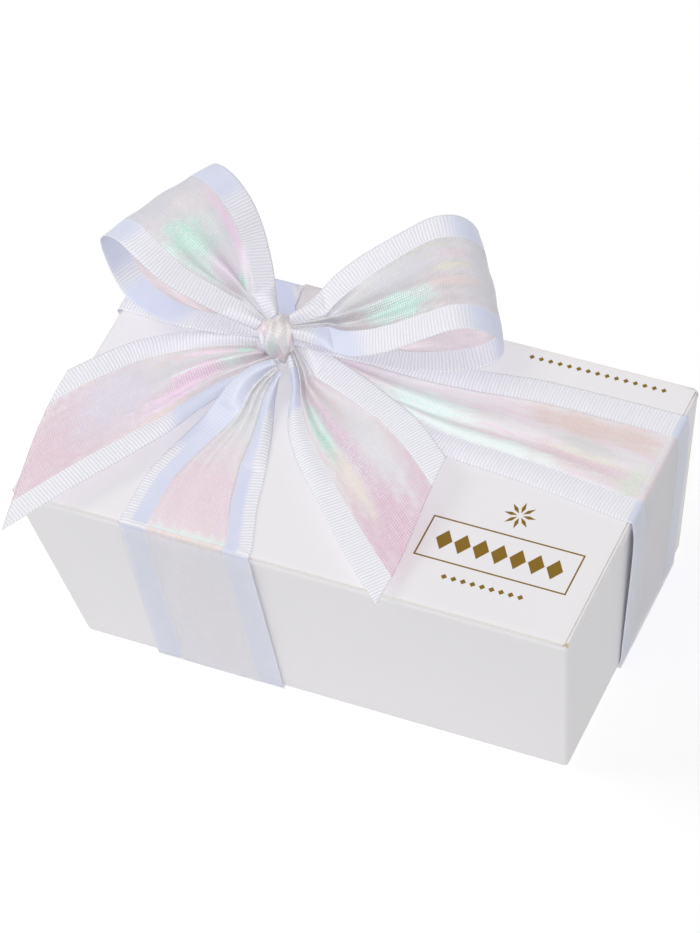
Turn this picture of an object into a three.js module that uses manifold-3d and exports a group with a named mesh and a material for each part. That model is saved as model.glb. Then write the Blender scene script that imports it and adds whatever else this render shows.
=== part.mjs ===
// A ballotin: a tapered sweet box folded from white paperboard, wrapped both ways
// with a wide woven ribbon that is tied in a bow on the lid.
// Millimetres, +Z up. The origin is under the middle of the box, on the surface
// it stands on: the box stands on the ribbon that crosses below it.
import * as THREE from 'three';
import { mergeVertices } from 'three/addons/utils/BufferGeometryUtils.js';
import Module from 'manifold-3d';

const wasm = await Module();
wasm.setup();

// Driving dimensions of the carton
const RIM_LENGTH = 165;
const RIM_WIDTH = 92;
const BASE_LENGTH = 147;
const BASE_WIDTH = 81.5;
const HEIGHT = 64.5;
const BOARD = 0.5;
const GAP = 0.3;
const FRONT_FLAP = 42;
const FRONT_FLAP_INSET = 1.2;
const DUST_FLAP = 40;
const DUST_FLAP_SIDE = 29;
const DUST_FLAP_INSET = 3;
const GLUE_TAB = 14;
const GLUE_TAB_INSET = 3;
const CORNER_RADIUS = 1.2;
const DUST_FLAP_RADIUS = 3 * CORNER_RADIUS;

// Driving dimensions of the ribbon and its bow
const RIBBON_WIDTH = 39;
const RIBBON = 0.5;
const KNOT_X = -30.5;
const KNOT_Y = 19.5;
const KNOT_HEIGHT = 9.7;
const KNOT_WIDE = 5.2;
const KNOT_DEEP = 5.4;
const KNOT_TALL = 6.2;
const KNOT_FOLDS = 7;
const FRONT_RUN_AT_RIM = -29.2;
const FRONT_LEG_AT_BASE = -31.3;
const RIGHT_RUN_AT_RIM = 16.2;
const SIDE_LEG_AT_BASE = 15.2;
const BACK_RUN_AT_RIM = -33;
const BACK_RUN_GATHERED = 28;
const LEFT_RUN_AT_RIM = 33.3;
const LEFT_RUN_GATHERED = 22;
const RIGHT_LEG_STANDS_OFF = 2.6;
const LEFT_LOOP_HEADING = 155;
const RIGHT_LOOP_HEADING = 33;

// Folds of the gathered ribbon: how deep they are, how many waves cross the ribbon, and over
// what share of its length they fade out from the knot
const FOLDS_ACROSS = 2.5;
const LOOP_FOLD = 0.7;
const LOOP_GATHER = 0.22;
const LOOP_CUP = 0.8;
const TAIL_FOLD = 0.6;
const TAIL_GATHER = 0.35;
const TAIL_WAVE = 0.9;
const KNOT_FOLD = 0.05;
const BOWING_FADE = 0.35;

// How finely the ribbon and knot are divided
const LOOP_STEPS = 44;
const TAIL_STEPS = 26;
const BOW_ACROSS = 10;
const RUN_STEPS = 20;
const RUN_ACROSS = 8;
const LEG_STEPS = 12;
const LEG_ACROSS = 4;
const KNOT_SECTORS = 28;
const KNOT_BELTS = 16;
const CORNER_SEGMENTS = 5;
const SLOPE_STEP = 0.01;
const MERGE_DISTANCE = 1e-5;

// Levels, from the surface up
const BASE = RIBBON + GAP;
const WALL_FOOT = BASE + BOARD + GAP;
const LID_TOP = BASE + HEIGHT;
const LID = LID_TOP - BOARD;
const FRONT_FLAP_LEVEL = LID - GAP - BOARD;
const DUST_FLAP_LEVEL = FRONT_FLAP_LEVEL - GAP - BOARD;
const RUN_LEVEL = GAP + RIBBON / 2;

const board = new THREE.MeshStandardMaterial({ color: 0xefedee, roughness: 0.5, metalness: 0 });
const boardInside = new THREE.MeshStandardMaterial({ color: 0xf4f1ea, roughness: 0.7, metalness: 0 });
const satin = new THREE.MeshStandardMaterial({ color: 0xdfe1f2, roughness: 0.45, metalness: 0 });
const sheer = new THREE.MeshStandardMaterial({ color: 0xe9d9e6, roughness: 0.35, metalness: 0 });

const ballotin = new THREE.Group();

// Half the carton's outside length and width at height z, on its tapered walls
const halfLength = (z) => (BASE_LENGTH + ((RIM_LENGTH - BASE_LENGTH) * (z - BASE)) / HEIGHT) / 2;
const halfWidth = (z) => (BASE_WIDTH + ((RIM_WIDTH - BASE_WIDTH) * (z - BASE)) / HEIGHT) / 2;

function mergedByPosition(geometry) {
  geometry.deleteAttribute('uv');
  geometry.deleteAttribute('normal');
  return mergeVertices(geometry, MERGE_DISTANCE);
}

function add(name, geometry, material) {
  const merged = mergedByPosition(geometry);
  merged.computeVertexNormals();
  const mesh = new THREE.Mesh(merged, material);
  mesh.name = name;
  ballotin.add(mesh);
}

// A closed grid of points: rings[i][j] wraps in j, and the two end rings are closed flat
function closedTube(rings) {
  const turn = rings[0].length;
  const positions = rings.flat().flatMap((point) => [point.x, point.y, point.z]);
  const faces = [];
  for (let i = 0; i + 1 < rings.length; i += 1) {
    for (let j = 0; j < turn; j += 1) {
      const a = i * turn + j;
      const b = i * turn + ((j + 1) % turn);
      faces.push(a, b, b + turn, a, b + turn, a + turn);
    }
  }
  const last = (rings.length - 1) * turn;
  for (let j = 0; j + 1 < turn / 2; j += 1) {
    const across = turn - 1 - j;
    faces.push(j, across, across - 1, j, across - 1, j + 1);
    faces.push(last + j, last + across - 1, last + across, last + j, last + j + 1, last + across - 1);
  }
  const geometry = new THREE.BufferGeometry();
  geometry.setAttribute('position', new THREE.Float32BufferAttribute(positions, 3));
  geometry.setIndex(faces);
  return geometry;
}

// A six-sided board between a lower and an upper rectangle of four points each,
// both listed the same way round, anticlockwise from above
function slab(name, lower, upper, material) {
  const ring = (points) => points.map(([x, y, z]) => new THREE.Vector3(x, y, z));
  add(name, closedTube([ring(lower), ring(upper)]), material);
}

// A flat board lying at height z, cut to an outline of [x, y] corners, each rounded by its radius
function plate(name, corners, radii, z) {
  const shape = new THREE.Shape();
  corners.forEach(([x, y], i) => {
    const corner = new THREE.Vector2(x, y);
    const before = new THREE.Vector2(...corners[(i + corners.length - 1) % corners.length]);
    const after = new THREE.Vector2(...corners[(i + 1) % corners.length]);
    const enter = corner.clone().addScaledVector(before.sub(corner).normalize(), radii[i]);
    const leave = corner.clone().addScaledVector(after.sub(corner).normalize(), radii[i]);
    if (i === 0) shape.moveTo(enter.x, enter.y);
    else shape.lineTo(enter.x, enter.y);
    if (radii[i] > 0) shape.quadraticCurveTo(x, y, leave.x, leave.y);
  });
  const cut = { depth: BOARD, bevelEnabled: false, curveSegments: CORNER_SEGMENTS };
  const geometry = new THREE.ExtrudeGeometry(shape, cut);
  geometry.translate(0, 0, z);
  add(name, geometry, board);
}

// Carton: base, four tapered walls and the tabs that glue its corners
function buildCarton() {
  const footX = halfLength(BASE);
  const footY = halfWidth(BASE);
  const rectangle = (x0, x1, y0, y1, z) => [[x0, y0, z], [x1, y0, z], [x1, y1, z], [x0, y1, z]];
  slab('base_panel', rectangle(-footX, footX, -footY, footY, BASE),
    rectangle(-footX, footX, -footY, footY, BASE + BOARD), board);

  const frontTop = FRONT_FLAP_LEVEL - GAP;
  const backTop = LID - GAP;
  const sideTop = DUST_FLAP_LEVEL - GAP;
  const frontWall = (z) => rectangle(-halfLength(z), halfLength(z), -halfWidth(z), BOARD - halfWidth(z), z);
  const backWall = (z) => rectangle(-halfLength(z), halfLength(z), halfWidth(z) - BOARD, halfWidth(z), z);
  slab('front_wall', frontWall(WALL_FOOT), frontWall(frontTop), board);
  slab('back_wall', backWall(WALL_FOOT), backWall(backTop), board);

  for (const [side, sign] of [['left', -1], ['right', 1]]) {
    const across = (z, inner, outer) => [sign * (halfLength(z) - inner), sign * (halfLength(z) - outer)]
      .sort((a, b) => a - b);
    const sideWall = (z) => {
      const clear = halfWidth(z) - BOARD - GAP;
      return rectangle(...across(z, BOARD, 0), -clear, clear, z);
    };
    slab(`${side}_wall`, sideWall(WALL_FOOT), sideWall(sideTop), board);

    for (const [end, facing] of [['front', -1], ['back', 1]]) {
      const tab = (z) => {
        const rooted = facing * (halfWidth(z) - BOARD - GAP);
        const free = rooted - facing * GLUE_TAB;
        const [y0, y1] = [rooted, free].sort((a, b) => a - b);
        return rectangle(...across(z, BOARD + GAP + BOARD, BOARD + GAP), y0, y1, z);
      };
      slab(`${end}_${side}_glue_tab`, tab(WALL_FOOT + GLUE_TAB_INSET), tab(sideTop - GLUE_TAB_INSET),
        boardInside);
    }
  }
}

// Closure: two tapered dust flaps lie lowest, then the front flap, then the lid from the back
function buildClosure() {
  const lidX = RIM_LENGTH / 2;
  const lidY = RIM_WIDTH / 2;
  plate('lid_flap', [[-lidX, -lidY], [lidX, -lidY], [lidX, lidY], [-lidX, lidY]],
    [CORNER_RADIUS, CORNER_RADIUS, 0, 0], LID);

  const flapX = halfLength(FRONT_FLAP_LEVEL) - FRONT_FLAP_INSET;
  const flapY = -halfWidth(FRONT_FLAP_LEVEL);
  const tipX = flapX - FRONT_FLAP_INSET;
  const tipY = flapY + FRONT_FLAP;
  plate('front_flap', [[-flapX, flapY], [flapX, flapY], [tipX, tipY], [-tipX, tipY]],
    [0, 0, CORNER_RADIUS, CORNER_RADIUS], FRONT_FLAP_LEVEL);

  // The right dust flap is the left one turned half round
  const hingeX = -halfLength(DUST_FLAP_LEVEL);
  const freeX = hingeX + DUST_FLAP;
  const rootY = halfWidth(DUST_FLAP_LEVEL) - DUST_FLAP_INSET;
  const freeY = rootY - DUST_FLAP * Math.tan(THREE.MathUtils.degToRad(DUST_FLAP_SIDE));
  const outline = [[hingeX, -rootY], [freeX, -freeY], [freeX, freeY], [hingeX, rootY]];
  const radii = [0, DUST_FLAP_RADIUS, DUST_FLAP_RADIUS, 0];
  for (const [side, turn] of [['left', 1], ['right', -1]]) {
    plate(`${side}_dust_flap`, outline.map(([x, y]) => [turn * x, turn * y]), radii, DUST_FLAP_LEVEL);
  }
}

// A point given from the knot's axis and the lid's top
const fromKnot = (dx, dy, dz) => new THREE.Vector3(KNOT_X + dx, KNOT_Y + dy, LID_TOP + dz);

// The ribbon as a thin closed strip between two edges of matching points. offset(s, t) lifts
// the cloth off the straight line between the edges: s runs along it, t from -1 to 1 across it.
function ribbonStrip(left, right, along, across, offset = () => 0) {
  const leftEdge = new THREE.CatmullRomCurve3(left, false, 'centripetal');
  const rightEdge = new THREE.CatmullRomCurve3(right, false, 'centripetal');
  const middle = [];
  for (let i = 0; i <= along; i += 1) {
    const s = i / along;
    const a = leftEdge.getPoint(s);
    const b = rightEdge.getPoint(s);
    const sumAt = (at) => leftEdge.getPoint(at).add(rightEdge.getPoint(at));
    const ahead = sumAt(Math.min(1, s + SLOPE_STEP));
    const behind = sumAt(Math.max(0, s - SLOPE_STEP));
    const lateral = b.clone().sub(a);
    const up = lateral.clone().cross(ahead.sub(behind)).normalize();
    const line = [];
    for (let j = 0; j <= across; j += 1) {
      const t = (2 * j) / across - 1;
      line.push(a.clone().lerp(b, j / across).addScaledVector(up, offset(s, t)));
    }
    middle.push(line);
  }
  const normalAt = (i, j) => {
    const behind = middle[Math.max(0, i - 1)][j];
    const ahead = middle[Math.min(along, i + 1)][j];
    const before = middle[i][Math.max(0, j - 1)];
    const after = middle[i][Math.min(across, j + 1)];
    return after.clone().sub(before).cross(ahead.clone().sub(behind)).normalize();
  };
  const rings = middle.map((line, i) => {
    const top = line.map((point, j) => point.clone().addScaledVector(normalAt(i, j), RIBBON / 2));
    const bottom = line.map((point, j) => point.clone().addScaledVector(normalAt(i, j), -RIBBON / 2));
    return [...top, ...bottom.reverse()];
  });
  return closedTube(rings);
}

function toSolid(geometry) {
  const merged = mergedByPosition(geometry);
  const vertProperties = new Float32Array(merged.attributes.position.array);
  const triVerts = new Uint32Array(merged.index.array);
  return new wasm.Manifold(new wasm.Mesh({ numProp: 3, vertProperties, triVerts }));
}

function fromSolid(solid) {
  const { vertProperties, triVerts } = solid.getMesh();
  const geometry = new THREE.BufferGeometry();
  geometry.setAttribute('position', new THREE.Float32BufferAttribute(vertProperties, 3));
  geometry.setIndex(Array.from(triVerts));
  return geometry;
}

// The knot is a gathered band round the crossing, an upright barrel with shallow folds.
// spare makes it that much larger all round, to cut the strips that end on it.
function knotGeometry(spare) {
  const geometry = new THREE.SphereGeometry(1, KNOT_SECTORS, KNOT_BELTS);
  geometry.rotateX(Math.PI / 2);
  const place = geometry.attributes.position;
  for (let i = 0; i < place.count; i += 1) {
    const [x, y, z] = [place.getX(i), place.getY(i), place.getZ(i)];
    const fold = 1 + KNOT_FOLD * Math.cos(KNOT_FOLDS * Math.atan2(y, x)) * Math.hypot(x, y);
    place.setXYZ(i, x * fold * (KNOT_WIDE + spare), y * fold * (KNOT_DEEP + spare), z * (KNOT_TALL + spare));
  }
  geometry.translate(KNOT_X, KNOT_Y, LID_TOP + KNOT_HEIGHT);
  return geometry;
}

// Rows of a strip as [left x, y, z, right x, y, z], measured from the knot and the lid
function edges(rows) {
  return [rows.map((row) => fromKnot(...row.slice(0, 3))), rows.map((row) => fromKnot(...row.slice(3)))];
}

const ease = (x) => THREE.MathUtils.smoothstep(x, 0, 1);
const acrossWaves = (t) => Math.cos(FOLDS_ACROSS * Math.PI * t);

function buildBow() {
  const knotCut = toSolid(knotGeometry(GAP));
  const bow = (name, geometry) => add(name, fromSolid(toSolid(geometry).subtract(knotCut)), sheer);
  add('bow_knot', knotGeometry(0), sheer);

  // Each loop stands along its heading, and its rows are
  // [reach from the knot, height of the near edge, height of the far edge, half width]
  const half = RIBBON_WIDTH / 2;
  const loop = (name, headingDegrees, nearSide, rows) => {
    const heading = THREE.MathUtils.degToRad(headingDegrees);
    const out = new THREE.Vector3(Math.cos(heading), Math.sin(heading), 0);
    const aside = new THREE.Vector3(-out.y, out.x, 0).multiplyScalar(nearSide);
    const edge = (height, side) => rows.map((row) => fromKnot(0, 0, row[height])
      .addScaledVector(out, row[0]).addScaledVector(aside, side * Math.min(half, row[3])));
    const gather = (s) => 1 - ease(Math.min(s, 1 - s) / LOOP_GATHER);
    const cup = (s, t) => LOOP_CUP * (1 - t * t) * (1 - gather(s));
    const folds = (s, t) => LOOP_FOLD * gather(s) * acrossWaves(t) + cup(s, t);
    bow(name, ribbonStrip(edge(1, 1), edge(2, -1), LOOP_STEPS, BOW_ACROSS, folds));
  };
  loop('bow_loop_left', LEFT_LOOP_HEADING, 1, [
    [4, 13.5, 13, 4], [9.7, 17, 14.5, 8], [13.5, 20.3, 16.3, 11], [17.4, 23.3, 18.3, 13.5],
    [23.7, 27.7, 22, 17], [29, 31.5, 27, 18.8], [34.7, 34.2, 31, half], [40, 34.9, 32.7, half],
    [46, 32.8, 31, half], [49.8, 28, 26.2, half], [49, 19.7, 19.7, half], [46, 12.8, 13.4, half],
    [42, 9.9, 10.4, half], [36, 9.3, 9.9, 19], [27.5, 9, 9.5, 17], [20.9, 9.3, 9.5, 14],
    [12, 10.3, 10.2, 9.5], [4, 10.9, 10.7, 4],
  ]);
  loop('bow_loop_right', RIGHT_LOOP_HEADING, -1, [
    [4, 12.6, 13.2, 4], [10, 11.4, 14.2, 7], [14, 10.5, 15.2, 9.5], [18, 10.2, 16.7, 12],
    [25, 12.2, 18.7, 15], [33, 15.7, 20.5, 17.3], [41, 19.5, 22.5, 19], [48, 20.9, 24.5, half],
    [54, 18.5, 23.5, half], [58, 14.2, 19.5, half], [59.6, 9.5, 13.7, half], [57.5, 5.2, 8.2, half],
    [53, 3.6, 5.7, half], [46, 4.1, 5.2, half], [35, 5.3, 5.7, 18], [26, 7, 7, 15],
    [18, 8.3, 8.3, 11.5], [12, 9.2, 9.2, 8.5], [4, 10.4, 10.2, 4],
  ]);

  // Tails fan out from the knot to a slanting cut, standing clear of the lid
  const tailFolds = (s, t) => {
    const gathered = TAIL_FOLD * (1 - ease(s / TAIL_GATHER)) * acrossWaves(t);
    const wave = TAIL_WAVE * Math.sin(Math.PI * t) * ease(s);
    return gathered + wave;
  };
  const tail = (name, rows) => bow(name, ribbonStrip(...edges(rows), TAIL_STEPS, BOW_ACROSS, tailFolds));
  tail('bow_tail_left', [
    [2.6, -4.2, 5.7, -4.8, 0.2, 8.4], [-0.8, -7.8, 4.3, -10.9, -0.1, 7.8],
    [-4.8, -12.6, 3.5, -16.8, -0.8, 7.5],
    [-9.1, -18.3, 3.3, -23.1, -2.5, 7.2], [-13.1, -26.5, 3.9, -28.6, -4.9, 7.2],
    [-16.7, -37, 5.2, -33.9, -8.3, 7.6], [-22, -46.9, 6.2, -38.7, -12.3, 8.1],
    [-32.8, -64.2, 6.7, -46.1, -20.9, 8.6], [-44.7, -82.7, 5.7, -51.6, -28, 8.6],
  ]);
  tail('bow_tail_right', [
    [4.3, -4.9, 6.7, 5.2, 3.3, 8.4], [6.8, -8.3, 4.9, 8.1, 3.3, 7.7], [9.2, -13.1, 3.8, 12, 2.4, 7],
    [10.9, -18.9, 3.4, 16.7, 0.8, 6.6], [14.1, -25.7, 3.4, 22.5, -1.1, 6.2],
    [20.9, -34.6, 3.7, 29.8, -4, 6.2], [32.4, -45.9, 4.7, 37.3, -7.7, 6.7],
    [47.1, -60.2, 4.7, 47.5, -13, 7.7], [61.2, -72, 3.7, 60.5, -23.1, 8.2],
  ]);
}

// Runs cross the lid from the knot to each rim, and the legs follow the walls down
function buildWrap() {
  const overFront = -RIM_WIDTH / 2 - GAP - RIBBON - KNOT_Y;
  const overBack = RIM_WIDTH / 2 + GAP + RIBBON - KNOT_Y;
  const overLeft = -RIM_LENGTH / 2 - GAP - RIBBON - KNOT_X;
  const overRight = RIM_LENGTH / 2 + GAP + RIBBON - KNOT_X;
  const half = RIBBON_WIDTH / 2;
  const low = RUN_LEVEL;
  const frontMiddle = FRONT_RUN_AT_RIM - KNOT_X;
  const rightMiddle = RIGHT_RUN_AT_RIM - KNOT_Y;
  const backMiddle = BACK_RUN_AT_RIM - KNOT_X;
  const leftMiddle = LEFT_RUN_AT_RIM - KNOT_Y;

  const run = (name, rows) => add(name, ribbonStrip(...edges(rows), RUN_STEPS, RUN_ACROSS), sheer);
  run('ribbon_run_front', [
    [frontMiddle - half, overFront, low, frontMiddle + half, overFront, low],
    [-18.5, -49.1, low, 15.6, -49.7, low], [-16.8, -40.7, low, 13.7, -42.4, low],
    [-14.6, -33.2, low, 11.9, -36, low], [-11.9, -25.8, 1.5, 10, -29.8, low + 0.1],
    [-9.3, -20, 4.6, 7.6, -22.7, 1.1], [-6.9, -14.9, 7.2, 5.3, -16.5, 1.8],
    [-2.6, -9.7, 8.7, 4, -11.6, 3.2], [1.2, -7, 9.2, 3.6, -7.8, 5.2],
  ].reverse());
  run('ribbon_run_right', [
    [7.7, -3.8, 3.2, 5.2, 8.5, 3.4], [16.9, -7.8, 2.4, 15.8, 11.2, 2.7], [29.3, -12.2, 1.7, 29.1, 11.6, 1.7],
    [42.5, -15, 1, 42.4, 12.2, 1.2], [57.1, -17.3, low, 54.8, 13.7, low], [74.2, -18.6, low, 71.3, 15.7, low],
    [87.9, -19.9, low, 86.9, 16.1, low],
    [overRight, rightMiddle - half, low, overRight, rightMiddle + half, low],
  ]);
  const backHalf = BACK_RUN_GATHERED / 2;
  run('ribbon_run_back', [
    [3.5, 8, 2.8, -5, 7.8, 2.8], [7, 15.5, 1.4, -9.5, 15.5, 1.4], [10.5, 22.5, low, -15, 22.5, low],
    [backMiddle + backHalf, overBack, low, backMiddle - backHalf, overBack, low],
  ]);
  const leftHalf = LEFT_RUN_GATHERED / 2;
  run('ribbon_run_left', [
    [-6.5, 5.5, 2.6, -6.5, -3, 2.6], [-17.5, 13, 1.2, -17.5, -1, 1.2], [-29.5, 19.5, low, -29.5, 1.5, low],
    [-41.5, 23, low, -41.5, 2.8, low],
    [overLeft, leftMiddle + leftHalf, low, overLeft, leftMiddle - leftHalf, low],
  ]);

  // A leg hangs from the rim to the foot: wall(z) is the outside of the wall at height z,
  // facing is which way it looks, and standsOff bows the ribbon away from it
  const leg = (name, wall, facing, atRim, rimWide, atFoot, alongX, standsOff = 0) => {
    const [left, right] = [[], []];
    for (let i = 0; i <= LEG_STEPS; i += 1) {
      const down = i / LEG_STEPS;
      const z = THREE.MathUtils.lerp(LID_TOP - RIBBON / 2, BASE + RIBBON / 2, down);
      const bowed = standsOff * Math.sin(Math.PI * Math.sqrt(down)) * (1 - BOWING_FADE * down);
      const away = facing * (wall(z) + GAP + RIBBON / 2 + bowed);
      const middle = THREE.MathUtils.lerp(atRim, atFoot, down);
      const wide = THREE.MathUtils.lerp(rimWide, RIBBON_WIDTH, down) / 2;
      const point = (side) => (alongX ? new THREE.Vector3(middle + side * wide, away, z)
        : new THREE.Vector3(away, middle + side * wide, z));
      const turned = alongX ? -facing : facing;
      left.push(point(-turned));
      right.push(point(turned));
    }
    add(name, ribbonStrip(left, right, LEG_STEPS, LEG_ACROSS), satin);
  };
  leg('ribbon_leg_front', halfWidth, -1, FRONT_RUN_AT_RIM, RIBBON_WIDTH, FRONT_LEG_AT_BASE, true);
  leg('ribbon_leg_back', halfWidth, 1, BACK_RUN_AT_RIM, BACK_RUN_GATHERED, FRONT_LEG_AT_BASE, true);
  leg('ribbon_leg_left', halfLength, -1, LEFT_RUN_AT_RIM, LEFT_RUN_GATHERED, SIDE_LEG_AT_BASE, false);
  leg('ribbon_leg_right', halfLength, 1, RIGHT_RUN_AT_RIM, RIBBON_WIDTH, SIDE_LEG_AT_BASE, false,
    RIGHT_LEG_STANDS_OFF);

  // Below the box the two ribbons cross, and the box stands on them
  const endX = halfLength(BASE) + GAP + RIBBON;
  const endY = halfWidth(BASE) + GAP + RIBBON;
  const [west, east] = [FRONT_LEG_AT_BASE - half, FRONT_LEG_AT_BASE + half];
  const [south, north] = [SIDE_LEG_AT_BASE - half, SIDE_LEG_AT_BASE + half];
  const cross = new THREE.Shape([
    [west, -endY], [east, -endY], [east, south], [endX, south], [endX, north], [east, north],
    [east, endY], [west, endY], [west, north], [-endX, north], [-endX, south], [west, south],
  ].map(([x, y]) => new THREE.Vector2(x, y)));
  add('ribbon_base_cross', new THREE.ExtrudeGeometry(cross, { depth: RIBBON, bevelEnabled: false }), satin);
}

buildCarton();
buildClosure();
buildWrap();
buildBow();

export default ballotin;
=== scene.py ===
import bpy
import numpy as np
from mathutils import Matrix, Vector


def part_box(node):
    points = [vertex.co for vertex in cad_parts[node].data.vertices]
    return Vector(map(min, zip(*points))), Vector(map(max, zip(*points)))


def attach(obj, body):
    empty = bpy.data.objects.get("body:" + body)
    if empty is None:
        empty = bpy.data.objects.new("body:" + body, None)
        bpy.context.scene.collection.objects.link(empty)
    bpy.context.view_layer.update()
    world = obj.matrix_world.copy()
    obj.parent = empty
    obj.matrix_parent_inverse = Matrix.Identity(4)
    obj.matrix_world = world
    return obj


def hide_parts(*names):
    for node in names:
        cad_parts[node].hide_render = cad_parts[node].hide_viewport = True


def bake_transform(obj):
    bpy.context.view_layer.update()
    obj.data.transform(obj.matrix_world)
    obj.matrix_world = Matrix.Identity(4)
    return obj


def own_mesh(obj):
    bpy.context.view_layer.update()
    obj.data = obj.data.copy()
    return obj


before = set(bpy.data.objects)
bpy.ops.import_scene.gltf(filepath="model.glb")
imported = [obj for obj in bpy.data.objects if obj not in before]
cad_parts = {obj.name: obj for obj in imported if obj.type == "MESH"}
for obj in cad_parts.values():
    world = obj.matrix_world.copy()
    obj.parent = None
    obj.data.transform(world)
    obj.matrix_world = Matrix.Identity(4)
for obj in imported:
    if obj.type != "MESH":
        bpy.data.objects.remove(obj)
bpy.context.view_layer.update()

# %% [markdown]
# # A ballotin tied with a wide sheer ribbon
# The object is a tapered carton of white coated board, with a ribbon tied round it both
# ways and a bow on the lid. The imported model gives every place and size. Here each piece
# gets the surface that the eye expects: raw cut edges on the board, ribs on the woven
# borders, and a shimmering sheer cloth between them.

MM = 0.001
lid_low, lid_high = (np.array(corner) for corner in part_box("lid_flap"))
base_low, base_high = (np.array(corner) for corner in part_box("base_panel"))
knot_low, knot_high = (np.array(corner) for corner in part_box("bow_knot"))
RIM_X, RIM_Y = lid_high[0], lid_high[1]
FOOT_X, FOOT_Y = base_high[0], base_high[1]
LID_TOP, LID_UNDER = lid_high[2], lid_low[2]
FOOT = base_low[2]
BOARD = lid_high[2] - lid_low[2]
KNOT = (knot_low + knot_high) / 2
print("rim", RIM_X * 2, RIM_Y * 2, "lid top", LID_TOP, "knot", KNOT)

# %% [markdown]
# The camera looks down on the front right corner from a long way off, so the box shows
# hardly any perspective. It was fitted to the carton's corners, and it is set by a
# heading, an elevation and a roll. Aiming it at a point would be simpler, but would leave
# no roll.

# %% Camera
HEADING, ELEVATION, ROLL = np.radians([33.289, 49.377, -11.425])
DISTANCE = 1369.549 * MM
ASIDE, ABOVE = -9.406 * MM, 34.42 * MM
FOCAL_PIXELS, FRAME_HEIGHT, SENSOR = 4875.105, 933, 36.0
FAR_CLIP = 20

toward = np.array([np.sin(HEADING) * np.cos(ELEVATION), -np.cos(HEADING) * np.cos(ELEVATION),
                   np.sin(ELEVATION)])
level = np.array([np.cos(HEADING), np.sin(HEADING), 0.0])
upright = np.cross(toward, level)
right = np.cos(ROLL) * level + np.sin(ROLL) * upright
up = -np.sin(ROLL) * level + np.cos(ROLL) * upright
place = toward * DISTANCE + right * ASIDE + up * ABOVE

camera = bpy.data.objects.new("camera", bpy.data.cameras.new("camera"))
camera.data.sensor_width = SENSOR
camera.data.lens = FOCAL_PIXELS * SENSOR / FRAME_HEIGHT
camera.data.clip_end = FAR_CLIP
turn = np.eye(4)
turn[:3, 0], turn[:3, 1], turn[:3, 2], turn[:3, 3] = right, up, toward, place
camera.matrix_world = Matrix(turn.tolist())
bpy.context.scene.collection.objects.link(camera)
bpy.context.scene.camera = camera
print("camera at", place, "lens %.1f mm" % camera.data.lens)


# %% [markdown]
# Colours are written as the hex values that a designer would pick, and one function turns
# them to the linear values that a renderer works in, which nobody can picture. Another
# adds a node with its settings and links. Sums in a material are Math nodes, each set to
# one operation.

# %% Colour and node helpers
MATH, MIX, NOISE = "ShaderNodeMath", "ShaderNodeMix", "ShaderNodeTexNoise"
ADD, SUBTRACT, MULTIPLY, MULTIPLY_ADD, POWER, SINE, ABSOLUTE, GREATER, LESS, MAXIMUM = (
    {"operation": name} for name in ("ADD", "SUBTRACT", "MULTIPLY", "MULTIPLY_ADD", "POWER", "SINE",
                                     "ABSOLUTE", "GREATER_THAN", "LESS_THAN", "MAXIMUM"))
COLOURS = {"data_type": "RGBA"}


def linear(hex_colour):
    """sRGB hex to linear: the dark end is divided by 12.92 and the rest is a power of 2.4."""
    s = np.array([int(hex_colour[i:i + 2], 16) for i in (1, 3, 5)]) / 255
    return np.where(s <= 0.04045, s / 12.92, ((s + 0.055) / 1.055) ** 2.4)


def node(material, kind, settings=None, **links):
    """Adds a node. A link is an input's name, or i and its number, with a value, an output, or
    another node, which gives its first output."""
    made = material.node_tree.nodes.new(kind)
    for name, value in (settings or {}).items():
        setattr(made, name, value)
    for name, value in links.items():
        key = int(name[1:]) if name[1:].isdigit() else name.replace("_", " ")
        given = value.outputs[0] if isinstance(value, bpy.types.Node) else value
        if isinstance(given, bpy.types.NodeSocket):
            material.node_tree.links.new(given, made.inputs[key])
        else:
            made.inputs[key].default_value = given
    return made


def new_material(name):
    """An empty material, to be built up from nothing."""
    material = bpy.data.materials.new(name)
    material.use_nodes = True
    material.node_tree.nodes.clear()
    return material


def rgba(hex_colour):
    """The linear values of a hex colour, with full opacity."""
    return (*linear(hex_colour), 1.0)


def finish_material(material, shader):
    """Joins the shader to the material's surface."""
    node(material, "ShaderNodeOutputMaterial", Surface=shader)
    return material


# %% [markdown]
# Folding boxboard is white clay over cream pulp. The clay is smooth and nearly matt, the
# reverse is warmer and rougher, and where the sheet is cut the pulp shows as a cream line.
# A photo of board could be wrapped round it, but noise at the board's real sizes has no
# seams, and it lies the same on every panel.

# %% Board materials
FIBRE_LENGTH = 2.2 * MM
CLOUD_SIZE = 45 * MM


def board(name, first, second, fibre_depth, roughness):
    """Cloudy coating between two whites, over fibres a couple of millimetres long."""
    m = new_material(name)
    spot = node(m, "ShaderNodeTexCoord").outputs["Object"]
    fibre = node(m, NOISE, Vector=spot, Scale=1 / FIBRE_LENGTH, Detail=4.0)
    cloud = node(m, NOISE, Vector=spot, Scale=1 / CLOUD_SIZE, Detail=2.0)
    colour = node(m, MIX, COLOURS, Factor=cloud, i6=rgba(first), i7=rgba(second)).outputs[2]
    bump = node(m, "ShaderNodeBump", Strength=fibre_depth, Distance=0.02 * MM, Height=fibre)
    shader = node(m, "ShaderNodeBsdfPrincipled", Base_Color=colour, Roughness=roughness, Normal=bump)
    return finish_material(m, shader)


clay_coated_board = board("clay_coated_board", "#EDEBED", "#F0EEF0", 0.06, 0.42)
cut_board_edge = board("cut_board_edge", "#EFE4CF", "#E6D6BA", 0.3, 0.7)
bare_board_reverse = board("bare_board_reverse", "#E9E4D9", "#E4DDCF", 0.3, 0.65)
print("board", [made.name for made in (clay_coated_board, cut_board_edge, bare_board_reverse)])


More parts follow.
